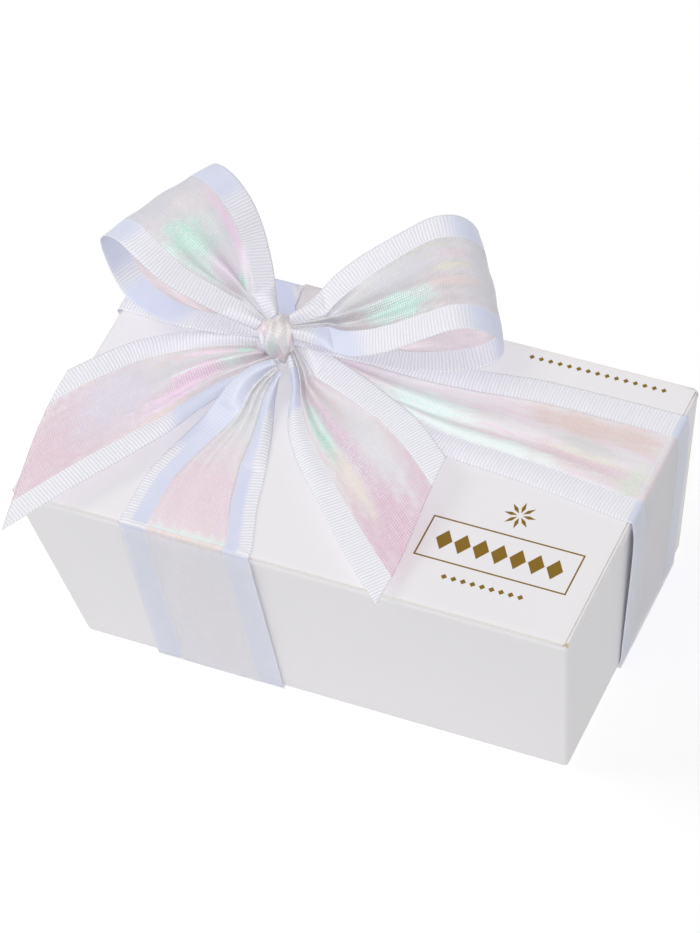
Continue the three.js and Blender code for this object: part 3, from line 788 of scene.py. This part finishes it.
def loop_lift(s, t, pleat, curl):
    """Just over half of the pleats' depth and of the borders' curl, a crown of CROWN millimetres
    across the open part, and a fine crinkle."""
    opened = ease(np.minimum(s, 1 - s) / GATHERED_PART)
    crinkle = CRINKLE * np.sin(9 * t + 14 * s) * np.sin(np.pi * s) * (1 - t * t)
    return (0.55 * pleat * waves(t, 0.9 + 3 * s) + 0.6 * curl * arch(t)
            + CROWN * (1 - t * t) * opened + crinkle)


def loop(name, heading_degrees, near_side, rows, tints, patches, bands, seed):
    """rows are [reach from the knot, height of the near edge, height of the far edge, half width].

    An edge is the heading times the reach, half a width to one side, at that edge's height."""
    table = np.array(rows, float)
    heading = np.radians(heading_degrees)
    out = np.array([np.cos(heading), np.sin(heading), 0])
    aside = np.array([-out[1], out[0], 0]) * near_side

    def edge(column, side):
        spine = table[:, :1] * out + side * table[:, 3:4] * aside
        return from_knot(spine + table[:, column:column + 1] * np.array([0, 0, 1]))

    woven_strip(name + "_cloth", edge(1, 1), edge(2, -1), "ribbon", LOOP_STEPS, loop_lift,
                (tints, seed, patches, bands), ("gathered", ["bow_knot_band"]), nodes=[name])


loop("bow_loop_left", 155, 1, [
    [4, 13.5, 13, 4], [9.7, 17, 14.5, 8], [13.5, 20.3, 16.3, 11], [17.4, 23.3, 18.3, 13.5],
    [23.7, 27.7, 22, 17], [29, 31.5, 27, 18.8], [34.7, 34.2, 31, HALF], [40, 34.9, 32.7, HALF],
    [46, 32.8, 31, HALF], [49.8, 28, 26.2, HALF], [49, 19.7, 19.7, HALF], [46, 12.8, 13.4, HALF],
    [42, 9.9, 10.4, HALF], [36, 9.3, 9.9, 19], [27.5, 9, 9.5, 17], [20.9, 9.3, 9.5, 14],
    [12, 10.3, 10.2, 9.5], [4, 10.9, 10.7, 4],
], LEFT_LOOP_TINTS, [
    # The grey band at the loop's far bend is painted shade; the mint spots with sparkle are painted glints.
    (0.8, 0, 0.36, 1.2, "#E9D8DA", 0), (0.47, 0, 0.07, 1.2, "#D3D3DC", 0),
    (0.38, 0.20, 0.05, 0.30, "#DDD6D8", 0.1), (0.29, 0.50, 0.10, 0.06, "#EBC6E2", 0.3),
    (0.25, 0.16, 0.10, 0.14, PEARL, 0.1), (0.295, -0.20, 0.065, 0.36, "#B4DFD1", 1),
    (0.31, -0.24, 0.035, 0.22, "#A9E9D2", 1), (0.22, -0.38, 0.04, 0.14, "#B9DDD2", 0.9),
    (0.19, 0.05, 0.05, 0.25, "#DFCBE0", 0.4), (0.15, 0.30, 0.03, 0.14, "#A4E3CB", 1),
    (0.05, 0, 0.06, 1.4, "#F4F2F8", 0.3),
], [(0.40, 0.62, -1, 2, 1), (0.34, 0.62, 1, 2, 1), (0.67, 0.84, -1, 2, 1), (0.67, 1.0, 1, 2, 1)], 3)
loop("bow_loop_right", 33, -1, [
    [4, 12.6, 13.2, 4], [10, 11.4, 14.2, 7], [14, 10.5, 15.2, 9.5], [18, 10.2, 16.7, 12],
    [25, 12.2, 18.7, 15], [33, 15.7, 20.5, 17.3], [41, 19.5, 22.5, 19], [48, 20.9, 24.5, HALF],
    [54, 18.5, 23.5, HALF], [58, 14.2, 19.5, HALF], [59.6, 9.5, 13.7, HALF], [57.5, 5.2, 8.2, HALF],
    [53, 3.6, 5.7, HALF], [46, 4.1, 5.2, HALF], [35, 5.3, 5.7, 18], [26, 7, 7, 15],
    [18, 8.3, 8.3, 11.5], [12, 9.2, 9.2, 8.5], [4, 10.4, 10.2, 4],
], SHADED_RIGHT_LOOP_TINTS, [
    # The grey bands at the far bend and on the bulge by the knot are painted shade; the mint spots and GLINT
    # are painted glints.
    (0.8, 0, 0.34, 1.2, "#EAD8DE", 0), (0.50, 0, 0.08, 1.2, "#D5D5DC", 0),
    (0.40, 0.30, 0.05, 0.08, "#D8C2CE", 0.2),
    (0.41, 0.10, 0.05, 0.05, "#D9D3BF", 0.2), (0.40, -0.16, 0.05, 0.08, "#DDC4C0", 0.2),
    (0.30, 0.30, 0.08, 0.20, "#C9C9D1", 0.1), (0.285, -0.32, 0.06, 0.22, "#A9DCD0", 1),
    (0.29, -0.38, 0.035, 0.11, "#98E3CE", 1), (0.13, 0.15, 0.045, 0.6, "#D4D4DC", 0),
    (0.04, 0, 0.07, 1.4, "#F6F4F9", 0.3), (0.14, -0.30, 0.05, 0.05, GLINT, 1),
], [(0.42, 0.62, 0, 2, 1), (0.05, 0.20, -1, 2, 1)], 5)


# %% [markdown]
# The tails fan out from under the knot to slanting cuts. A flat strip with a slanting end
# would look like paper. Near the knot they are pleated, and further out one long wave
# crosses them.

# %% Tails
TAIL_STEPS = 200
TAIL_WAVE = 0.9
TAIL_TINTS = ["#DEDBE0", "#E2D0DA", "#DFDBDF", "#E1D3D0", "#E3D0DA", "#DEDBE0", "#DCD1E0"]


def tail_lift(s, t, pleat, curl):
    """Half of the pleats' depth and of the borders' curl, and one wave across that grows outwards."""
    return 0.5 * pleat * waves(t, 0.7) + 0.5 * curl * arch(t) + TAIL_WAVE * np.sin(np.pi * t) * ease(s)


def between_edges(name, rows, along, lift, look, **how):
    """rows are [left x, y, z, right x, y, z] from the knot and the lid."""
    table = np.array(rows, float)
    woven_strip(name + "_cloth", from_knot(table[:, :3]), from_knot(table[:, 3:]), "ribbon", along, lift,
                look, ("gathered", ["lid_flap"]), nodes=[name], **how)


between_edges("bow_tail_left", [
    [2.6, -4.2, 5.7, -4.8, 0.2, 8.4], [-0.8, -7.8, 4.3, -10.9, -0.1, 7.8],
    [-4.8, -12.6, 3.5, -16.8, -0.8, 7.5],
    [-9.1, -18.3, 3.3, -23.1, -2.5, 7.2], [-13.1, -26.5, 3.9, -28.6, -4.9, 7.2],
    [-16.7, -37, 5.2, -33.9, -8.3, 7.6], [-22, -46.9, 6.2, -38.7, -12.3, 8.1],
    [-32.8, -64.2, 6.7, -46.1, -20.9, 8.6], [-44.7, -82.7, 5.7, -51.6, -28, 8.6],
], TAIL_STEPS, tail_lift, (TAIL_TINTS, 11, [
    # Spots with sparkle get painted glints at the thread crossings.
    (0.95, -0.1, 0.14, 0.6, "#D8B8C7", 0.1), (0.78, 0.1, 0.10, 0.4, "#D6CFDE", 0.1),
    (0.45, 0.24, 0.20, 0.13, "#DDDDDE", 0.0), (0.40, 0.48, 0.13, 0.05, "#EBC8DF", 0.4),
    (0.17, 0.42, 0.05, 0.10, "#A6E4CC", 1.0), (0.46, -0.08, 0.12, 0.17, "#F2C2E2", 0.8),
    (0.58, -0.33, 0.13, 0.16, "#FACCEE", 0.8), (0.50, 0.02, 0.07, 0.02, GLINT, 0.6),
    (0.62, -0.56, 0.12, 0.02, "#F3D8CC", 0.4), (0.28, 0.0, 0.05, 0.15, MINT, 0.6)],
    [(0.30, 0.60, -1, 2, 1)]), room=(0.0, 0.4), bulge=2.2)
between_edges("bow_tail_right", [
    [4.3, -4.9, 6.7, 5.2, 3.3, 8.4], [6.8, -8.3, 4.9, 8.1, 3.3, 7.7], [9.2, -13.1, 3.8, 12, 2.4, 7],
    [10.9, -18.9, 3.4, 16.7, 0.8, 6.6], [14.1, -25.7, 3.4, 22.5, -1.1, 6.2],
    [20.9, -34.6, 3.7, 29.8, -4, 6.2], [32.4, -45.9, 4.7, 37.3, -7.7, 6.7],
    [47.1, -60.2, 4.7, 47.5, -13, 7.7], [61.2, -72, 3.7, 60.5, -23.1, 8.2],
], TAIL_STEPS, tail_lift, (TAIL_TINTS, 12, [
    # Spots with sparkle get painted glints at the thread crossings.
    (0.95, 0.0, 0.13, 0.7, "#D3A9BF", 0.2), (0.80, 0.28, 0.16, 0.2, "#DCDADF", 0.1),
    (0.66, -0.05, 0.18, 0.12, "#D2AEC8", 0.5), (0.60, -0.33, 0.14, 0.11, "#A6EFD2", 1.0),
    (0.56, -0.31, 0.06, 0.03, GLINT, 1.0), (0.78, -0.30, 0.1, 0.1, "#E6D9CF", 0.2),
    (0.12, 0.1, 0.16, 1.0, "#F2EFF5", 0.2)], [(0.10, 0.42, -1, 2, 1)]),
    room=(0.3, 1.0), bulge=0.8)

# %% [markdown]
# The runs lie on the lid from the knot to each rim, turn over it in a small arc and meet
# the legs, which follow the walls down. A run and its leg could be one strip, but the
# model has a solid for each. The front run's borders rise in a lobe where it is drawn up
# into the knot.

# %% Runs
RUN_LEVEL = 0.55
OVER_FRONT = (-RIM_Y - KNOT[1]) / MM - 0.8
OVER_BACK = (RIM_Y - KNOT[1]) / MM + 0.8
OVER_LEFT = (-RIM_X - KNOT[0]) / MM - 0.8
OVER_RIGHT = (RIM_X - KNOT[0]) / MM + 0.8
BELOW_RIM = 1.2
RUN_TINTS = [PINK, PEARL, PINK, PEARL, PEACH, PINK, LILAC]


def over_rim(edge_row, outward):
    """The last rows of a run: level to just short of the rim, round it, and down a little."""
    row = np.array(edge_row, float)
    step = np.array([*outward, 0, *outward, 0], float)
    drop = np.array([0, 0, 1, 0, 0, 1], float)
    return [row - 2.2 * step, row - 1.2 * step, row - 0.55 * step - 0.12 * drop,
            row - 0.12 * step - 0.55 * drop, row - 1.2 * drop, row - (RUN_LEVEL + BELOW_RIM) * drop]


def upward(depth, curled):
    """A lift whose pleats and curls stand only upwards, because the lid is below. The pleats are
    half as deep again at the knot."""
    def lift(s, t, pleat, curl):
        pleats = (1.5 - 0.5 * ease(s / 0.3)) * depth * pleat * (1 + waves(t, 0.7))
        return pleats * (np.abs(t) < BORDER_AT) + curled * curl * arch(t)
    return lift


run_lift, lobe_lift = upward(0.3, 0.45), upward(0.24, 0.65)


def lie_flat(s, t, pleat, curl):
    """No lift anywhere."""
    return 0 * s


FRONT_MIDDLE = -29.2 - KNOT[0] / MM
RIGHT_MIDDLE = 16.2 - KNOT[1] / MM
BACK_MIDDLE = -33.0 - KNOT[0] / MM
LEFT_MIDDLE = 33.3 - KNOT[1] / MM
BACK_HALF, LEFT_HALF = 14.0, 11.0
front_edge = [FRONT_MIDDLE - HALF, OVER_FRONT, RUN_LEVEL, FRONT_MIDDLE + HALF, OVER_FRONT, RUN_LEVEL]
between_edges("ribbon_run_front", [
    [1.2, -7, 9.2, 3.6, -7.8, 5.2], [-2.6, -9.7, 8.7, 4, -11.6, 3.2], [-6.9, -14.9, 7.2, 5.3, -16.5, 1.8],
    [-9.3, -20, 4.6, 7.6, -22.7, 1.1], [-11.9, -25.8, 1.5, 10, -29.8, 0.65],
    [-14.6, -33.2, 0.55, 11.9, -36, 0.55], [-16.8, -40.7, 0.55, 13.7, -42.4, 0.55],
    [-18.5, -49.1, 0.55, 15.6, -49.7, 0.55], *over_rim(front_edge, (0, -1)),
], 160, lobe_lift, (RUN_TINTS, 21, [
    # The grey-green spot near the knot is painted shadow under the lobe and the left tail; the mint spot at
    # the rim is a painted glint.
    (0.24, 0, 0.10, 1.0, "#E4E6E6", 0), (0.08, 0, 0.13, 1.4, "#F4F3F8", 0.2),
    (0.42, 0, 0.07, 0.7, "#E8DEE4", 0.1), (0.53, 0, 0.09, 0.8, "#E8CBD8", 0.3),
    (0.652, 0, 0.036, 0.95, "#DFFBF1", 1), (0.78, 0, 0.03, 0.95, "#F0D5C2", 0.4),
], [(0.0, 0.42, -1, 2, 0.85), (0.36, 0.66, -1, 0.84, 0.9), (0.0, 0.20, 1, 2, 0.8), (0.15, 0.84, 1, 0.80, 1),
    (0.84, 1.1, 0, 2, 1)]), most=(0.42, 0.28))
right_edge = [OVER_RIGHT, RIGHT_MIDDLE - HALF, RUN_LEVEL, OVER_RIGHT, RIGHT_MIDDLE + HALF, RUN_LEVEL]
between_edges("ribbon_run_right", [
    [7.7, -3.8, 3.2, 5.2, 8.5, 3.4], [16.9, -7.8, 2.4, 15.8, 11.2, 2.7], [29.3, -12.2, 1.7, 29.1, 11.6, 1.7],
    [42.5, -15, 1, 42.4, 12.2, 1.2], [57.1, -17.3, 0.55, 54.8, 13.7, 0.55],
    [74.2, -18.6, 0.55, 71.3, 15.7, 0.55], [87.9, -19.9, 0.55, 86.9, 16.1, 0.55],
    *over_rim(right_edge, (1, 0)),
], 220, run_lift, (RUN_TINTS, 22, [
    # Spots with sparkle get painted glints at the thread crossings.
    (0.26, -0.1, 0.07, 0.3, "#D8F6F0", 0.9), (0.50, 0.36, 0.08, 0.2, "#DFC4BF", 0.1),
    (0.50, -0.32, 0.06, 0.2, "#E0C2CC", 0.3), (0.512, -0.16, 0.035, 0.05, CREAM, 0.1),
    (0.51, -0.02, 0.035, 0.12, "#D3D2D1", 0.0), (0.36, -0.50, 0.13, 0.11, "#E8FFF9", 1.0),
    (0.567, -0.42, 0.012, 0.3, "#D0DCC9", 0.5), (0.60, 0.0, 0.012, 1.0, MINT, 0.9)],
    [(0.62, 1.1, 0, 2, 1)]), room=(0.6, 0.8))
back_edge = [BACK_MIDDLE + BACK_HALF, OVER_BACK, RUN_LEVEL, BACK_MIDDLE - BACK_HALF, OVER_BACK, RUN_LEVEL]
between_edges("ribbon_run_back", [
    [3.5, 8, 2.8, -5, 7.8, 2.8], [7, 15.5, 1.4, -9.5, 15.5, 1.4], *over_rim(back_edge, (0, 1)),
], 100, run_lift, ([PEACH, GREY, PEARL, GREY], 23, [(0.6, -0.3, 0.5, 0.25, "#DFD6D6", 0)],
                   [(0.0, 1.0, 0, 2, 1)]), tuck=True)
left_edge = [OVER_LEFT, LEFT_MIDDLE + LEFT_HALF, RUN_LEVEL, OVER_LEFT, LEFT_MIDDLE - LEFT_HALF, RUN_LEVEL]
between_edges("ribbon_run_left", [
    [-6.5, 5.5, 2.6, -6.5, -3, 2.6], [-17.5, 13, 1.2, -17.5, -1, 1.2], [-29.5, 19.5, 0.55, -29.5, 1.5, 0.55],
    *over_rim(left_edge, (-1, 0)),
], 120, run_lift, (RUN_TINTS, 24, [], [(0.7, 1.1, 0, 2, 1)]), tuck=True)

# %% [markdown]
# A leg follows its wall down from the rim and lies close to it, and the right one bows
# furthest off, by about a millimetre.

# %% Legs
LEG_TINTS = ["#F3F0FC", "#F6F3FD", "#F0EFFB", "#F4F1FD"]
LEG_STEPS, BASE_STRIP_STEPS = 80, 60
LEG_POINTS, BASE_STRIP_POINTS = 16, 12
OFF_AT_RIM, OFF_BELOW = 0.8, 0.5


def leg(name, along_x, facing, at_rim, rim_wide, at_foot, stands_off):
    """Down the wall, the middle and the width go in straight lines from the rim's to the foot's.
    It lies a little off the wall, and by stands_off more in a bow that is widest near the rim."""
    down = np.linspace(0, 1, LEG_POINTS)
    z = (LID_TOP - BELOW_RIM * MM) * (1 - down) + (FOOT + 0.1 * MM) * down
    rise = (z - FOOT) / (LID_TOP - FOOT)
    wall = FOOT_Y + (RIM_Y - FOOT_Y) * rise if along_x else FOOT_X + (RIM_X - FOOT_X) * rise
    bow = stands_off * MM * np.sin(np.pi * np.sqrt(down)) * (1 - 0.35 * down)
    off_wall = (OFF_AT_RIM * (1 - down) ** 2 + OFF_BELOW * (1 - (1 - down) ** 2)) * MM
    away = facing * (wall + off_wall + bow)
    middle = (at_rim * (1 - down) + at_foot * down) * MM
    wide = (rim_wide * (1 - down) + 2 * HALF * down) * MM / 2

    def side(sign):
        flat = middle + sign * wide
        return np.stack([flat, away, z] if along_x else [away, flat, z], 1)

    outward = (0, facing, 0) if along_x else (facing, 0, 0)
    # The legs' borders get a painted shade share of 0.72 along their whole length.
    look = (LEG_TINTS, 31, [(0.6, 0.1, 0.4, 0.3, "#F6F0F9", 0.05)], [(-0.1, 1.1, 0, 2, 0.72)])
    cloth = woven_strip(name + "_cloth", side(-1), side(1), "ribbon", LEG_STEPS, lie_flat, look,
                        ("stretched", ["carton_shell"]), outward=outward, nodes=[name],
                        tuck=rim_wide < 2 * HALF)
    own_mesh(cloth)


leg("ribbon_leg_front", True, -1, -29.2, 2 * HALF, -31.3, 0.3)
leg("ribbon_leg_back", True, 1, -33.0, 2 * BACK_HALF, -31.3, 0)
leg("ribbon_leg_left", False, -1, 33.3, 2 * LEFT_HALF, 15.2, 0)
leg("ribbon_leg_right", False, 1, 16.2, 2 * HALF, 15.2, 0.9)


# %% [markdown]
# Under the box the two lengths cross, and the box stands on them. One passes below the
# other, with its cloth flat. Hardly anything of them shows, so two plain lengths will do.

# %% Crossing under the base
def base_strip(name, along_x, middle, level):
    """Two straight edges under the base, from foot to foot."""
    reach = (FOOT_X if along_x else FOOT_Y) + 0.6 * MM
    steps = np.linspace(-reach, reach, BASE_STRIP_POINTS)
    height = np.full(BASE_STRIP_POINTS, level * MM)

    def line(side):
        edge = np.full(BASE_STRIP_POINTS, middle * MM + side * RIBBON_WIDTH / 2)
        return np.stack([steps, edge, height] if along_x else [edge, steps, height], 1)

    woven_strip(name, line(1), line(-1), "box", BASE_STRIP_STEPS, lie_flat, (LEG_TINTS, 41, [], []),
                ("stretched", ["carton_shell"]), outward=(0, 0, -1), nodes=["ribbon_base_cross"])


base_strip("ribbon_under_long", True, 15.2, 0.12)
base_strip("ribbon_under_short", False, -31.3, 0.37)

# %% [markdown]
# The knot is a short length of the same ribbon, drawn hard round the crossing. Only a third
# of its width shows, crumpled into soft ridges. The rest is folded in under it, back and
# forth, as cloth is in a tight knot. A ball with bumps would do from far off, but it has
# no threads that run round it.

# %% Knot
KNOT_WIDE, KNOT_DEEP, KNOT_TALL = 5.0, 5.2, 6.2
AROUND, KNOT_ACROSS = 120, 121
KNOT_STREAKS = 2.4
KNOT_TINTS = ["#F0EAEE", "#F2E0DC", "#F4D8E6", "#D6F0E6", "#F0EDF0"]
HALF_FOLDS = [(0.30, 0.93, 0.0), (0.36, 1.0, 0.4), (0.40, 0.93, 1.0), (0.66, 0.15, 1.5), (0.72, 0.1, 2.3),
              (1.0, -0.75, 2.5)]
KNOT_FOLDS = [(-u, -w, depth) for u, w, depth in HALF_FOLDS[::-1]] + [(0.0, 0.0, 0.0)] + HALF_FOLDS


def crumple(a, w):
    """A few ridges that lean across the band, as sums of sines that close round it."""
    broad = 0.75 * np.sin(4.6 * w + 1.6 * np.sin(a - 0.4) + 0.5)
    middling = 0.5 * np.sin(9.5 * w - 1.6 * np.sin(2 * a + 1) + 2)
    return broad + middling + 0.35 * np.sin(3 * a + 4 * w) + 0.22 * np.sin(7 * a - 11 * w)


def knot_band():
    """Round an ellipse. Across, KNOT_FOLDS gives for each part of the width its place and its depth."""
    around = np.arange(AROUND) / AROUND * TAU
    t = np.linspace(-1, 1, KNOT_ACROSS)
    a, u = np.meshgrid(around, t, indexing="ij")
    part, place, depth = np.array(KNOT_FOLDS).T
    w = np.interp(u, part, place)
    inward = np.interp(u, part, depth)
    barrel = 0.55 + 0.45 * np.sqrt(np.clip(1 - (0.95 * w) ** 2, 0, 1))
    swell = crumple(a, w) * np.clip(1.2 - inward, 0, 1)
    y = (KNOT_DEEP * barrel + swell - inward) * np.cos(a)
    z = (KNOT_TALL * barrel + swell - inward) * np.sin(a)
    points = np.stack([KNOT_WIDE * w + 0.35 * np.sin(a + 0.8), y, z], -1) * MM + KNOT
    mean = np.sqrt((y ** 2 + z ** 2)).mean()
    cloth = np.stack([u * HALF, a * mean], -1).transpose(1, 0, 2)
    piece = grid_piece("bow_knot_band", points.transpose(1, 0, 2), "ribbon", wrap=True, cloth=cloth)
    dress_cloth(piece, a.T / TAU, u.T * KNOT_STREAKS, KNOT_TINTS, 51, [
        # Spots with sparkle get painted glints at the thread crossings.
        (0.25, 0.1, 0.10, 0.6, "#EFE4E2", 0.8), (0.62, -0.2, 0.10, 0.5, "#F2C9DF", 1),
        (0.72, 0.3, 0.08, 0.3, "#B8EBDA", 1), (0.45, -0.5, 0.1, 0.3, "#DADDF0", 0.5),
        (0.92, 0.0, 0.10, 0.6, "#F0CDE0", 1)], [])
    middle = (t[1:] + t[:-1]) / 2
    slots = np.repeat((np.abs(middle) > BORDER_AT).astype(np.int32), AROUND)
    piece.data.polygons.foreach_set("material_index", slots)
    thicken(piece, CLOTH, 0)
    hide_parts("bow_knot")
    print("knot's mean radius %.1f mm" % mean)


knot_band()

# %% [markdown]
# Gold foil is pressed on by a hot die, so it lies almost level with the board and mirrors
# softly. The lid has a plain ruled frame with a row of lozenges, a small rosette above
# it, and a row of lozenges near the back edge. Colour alone could draw them, but thin
# plates catch the light at their edges as real foil does.

# %% Gold foil ornament
FOIL, FOIL_LIFT = 0.03 * MM, 0.005 * MM
GOLD_GRAIN = 0.8 * MM
PETAL_START, PETAL_REACH, PETAL_HALF = 0.8, 4.6, 0.55


def foil_material():
    """A gold that is partly mirror and partly lacquer, mottled at the grain of the board."""
    m = new_material("hot_stamped_gold_foil")
    spot = node(m, "ShaderNodeTexCoord").outputs["Object"]
    grain = node(m, NOISE, Vector=spot, Scale=1 / GOLD_GRAIN, Detail=3.0)
    colour = node(m, MIX, COLOURS, Factor=grain, i6=rgba("#7A5E12"), i7=rgba("#8A6A1C")).outputs[2]
    shader = node(m, "ShaderNodeBsdfPrincipled", Base_Color=colour, Metallic=0.6, Roughness=0.4)
    return finish_material(m, shader)


gold_foil = foil_material()


def foil_piece(name, outlines):
    """Each outline is a convex ring of x, y points, made a thin closed plate on the lid."""
    vertices, faces = [], []
    for outline in outlines:
        ring = np.asarray(outline, float) * MM
        first, count = len(vertices), len(ring)
        for level in (LID_TOP + FOIL_LIFT, LID_TOP + FOIL_LIFT + FOIL):
            vertices += [(*point, level) for point in ring.tolist()]
        faces.append(list(range(first + count - 1, first - 1, -1)))
        faces.append(list(range(first + count, first + 2 * count)))
        faces += [[first + k, first + (k + 1) % count, first + count + (k + 1) % count, first + count + k]
                  for k in range(count)]
    mesh = bpy.data.meshes.new(name)
    mesh.from_pydata(vertices, [], faces)
    piece = bpy.data.objects.new(name, mesh)
    bpy.context.scene.collection.objects.link(piece)
    piece.data.materials.append(gold_foil)
    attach(piece, "lid")
    print(name, len(outlines), "plates")


# %% [markdown]
# The ornament is built from three outlines: a bar, a lozenge and a petal. A picture of
# it would blur close up, and outlines stay sharp.

# %% Bars, lozenges and petals
def bar(x0, y0, x1, y1):
    """A rectangle between two corners."""
    return [(x0, y0), (x1, y0), (x1, y1), (x0, y1)]


def lozenge(x, y, half_long, half_short):
    """Four points, one on each half axis."""
    return [(x - half_long, y), (x, y - half_short), (x + half_long, y), (x, y + half_short)]


def petal(x, y, angle):
    """From near the centre out to PETAL_REACH along the angle, and widest just past half way."""
    along = np.array([np.cos(angle), np.sin(angle)])
    aside = np.array([-along[1], along[0]])
    centre = np.array([x, y])
    widest = centre + along * PETAL_REACH * 0.55
    return [centre + along * PETAL_START, widest - aside * PETAL_HALF, centre + along * PETAL_REACH,
            widest + aside * PETAL_HALF]


# Millimetres from the middle of the lid.
FRAME_LEFT, FRAME_RIGHT, FRAME_LOW, FRAME_HIGH, RULE = 31.6, 75.6, -31.0, -17.0, 0.45
LARGE_LOZENGE, SMALL_LOZENGE, BACK_LOZENGE = (2.4, 3.4), (0.9, 0.9), (0.8, 0.8)
BACK_ROW_Y, BACK_ROW_FROM, BACK_ROW_TO = 42.5, 34.6, 73.5
foil_piece("foil_frame", [
    bar(FRAME_LEFT, FRAME_LOW, FRAME_RIGHT, FRAME_LOW + RULE),
    bar(FRAME_LEFT, FRAME_HIGH - RULE, FRAME_RIGHT, FRAME_HIGH),
    bar(FRAME_LEFT, FRAME_LOW + RULE, FRAME_LEFT + RULE, FRAME_HIGH - RULE),
    bar(FRAME_RIGHT - RULE, FRAME_LOW + RULE, FRAME_RIGHT, FRAME_HIGH - RULE)])
frame_middle = (FRAME_LOW + FRAME_HIGH) / 2
frame_centre = (FRAME_LEFT + FRAME_RIGHT) / 2
foil_piece("foil_lozenges", [lozenge(x, frame_middle, *LARGE_LOZENGE)
                             for x in np.linspace(FRAME_LEFT + 6, FRAME_RIGHT - 6, 7)])
foil_piece("foil_rosette", [petal(frame_centre, FRAME_HIGH + 7, angle)
                            for angle in np.arange(8) * np.pi / 4])
foil_piece("foil_lower_row", [lozenge(x, FRAME_LOW - 4.5, *SMALL_LOZENGE)
                              for x in np.linspace(frame_centre - 11, frame_centre + 11, 9)])
foil_piece("foil_back_row", [lozenge(x, BACK_ROW_Y, *BACK_LOZENGE)
                             for x in np.linspace(BACK_ROW_FROM, BACK_ROW_TO, 15)])


# %% [markdown]
# A pale floor and light from all round make soft shadows. A lamp high on the left gives
# the gentle fall from the lid to the right wall, and a fill without a shadow keeps the
# thin cloth as light below the bow as it is above. Stronger lamps would whiten the floor
# too, but they would burn out the board. So only the camera, reflections and what is seen
# through the cloth get the white surroundings.

# %% Floor, world and lamps
FLOOR_REACH = 6.0
PAPER_GREY, PAPER_GLOW = 0.85, 0.22
WORLD_LEVEL = 0.44
WHITE = (1, 1, 1, 1)


def rays_that_see(m):
    """1 for a ray from the camera, off a glossy surface or through a clear one, and 0 for the rest."""
    rays = node(m, "ShaderNodeLightPath").outputs
    mirrored = node(m, MATH, MAXIMUM, i0=rays["Is Glossy Ray"], i1=rays["Is Transmission Ray"])
    return node(m, MATH, MAXIMUM, i0=rays["Is Camera Ray"], i1=mirrored)


def stage_floor():
    """Grey enough to keep a shadow, with a glow for the rays that see it, which makes it white."""
    mesh = bpy.data.meshes.new("floor")
    mesh.from_pydata([(x * FLOOR_REACH, y * FLOOR_REACH, 0) for x, y in ((-1, -1), (1, -1), (1, 1), (-1, 1))],
                     [], [(0, 1, 2, 3)])
    floor = bpy.data.objects.new("floor", mesh)
    bpy.context.scene.collection.objects.link(floor)
    m = new_material("pale_studio_paper")
    paper = node(m, "ShaderNodeBsdfDiffuse", Color=(PAPER_GREY, PAPER_GREY, PAPER_GREY, 1))
    strength = node(m, MATH, MULTIPLY, i0=rays_that_see(m), i1=PAPER_GLOW)
    glow = node(m, "ShaderNodeEmission", Color=WHITE, Strength=strength)
    both = node(m, "ShaderNodeAddShader", i0=paper, i1=glow)
    floor.data.materials.append(finish_material(m, both))


def studio_world(level):
    """White for the rays that see it, and of that level for the rays that only light the object."""
    world = bpy.data.worlds.new("studio")
    world.use_nodes = True
    bpy.context.scene.world = world
    strength = node(world, MATH, MULTIPLY_ADD, i0=rays_that_see(world), i1=1 - level, i2=level)
    background = world.node_tree.nodes["Background"]
    world.node_tree.links.new(strength.outputs[0], background.inputs["Strength"])
    background.inputs["Color"].default_value = WHITE


def lamp(name, kind, spot, power, size):
    """A lamp that looks at the origin. Size is a panel's side in metres, or a sun's angle."""
    made = bpy.data.objects.new(name, bpy.data.lights.new(name, kind))
    made.data.energy = power
    made.location = spot
    made.rotation_euler = (-made.location).to_track_quat("-Z", "Y").to_euler()
    if kind == "SUN":
        made.data.angle = size
        made.data.use_shadow = False
    else:
        made.data.size = size
    bpy.context.scene.collection.objects.link(made)


stage_floor()
studio_world(WORLD_LEVEL)
lamp("key_lamp", "AREA", (-0.55, -0.12, 0.9), 1.3, 0.5)
lamp("fill_lamp", "SUN", (0.08, -0.44, 0.90), 1.4, 0.3)
bpy.context.scene.view_settings.view_transform = "Standard"
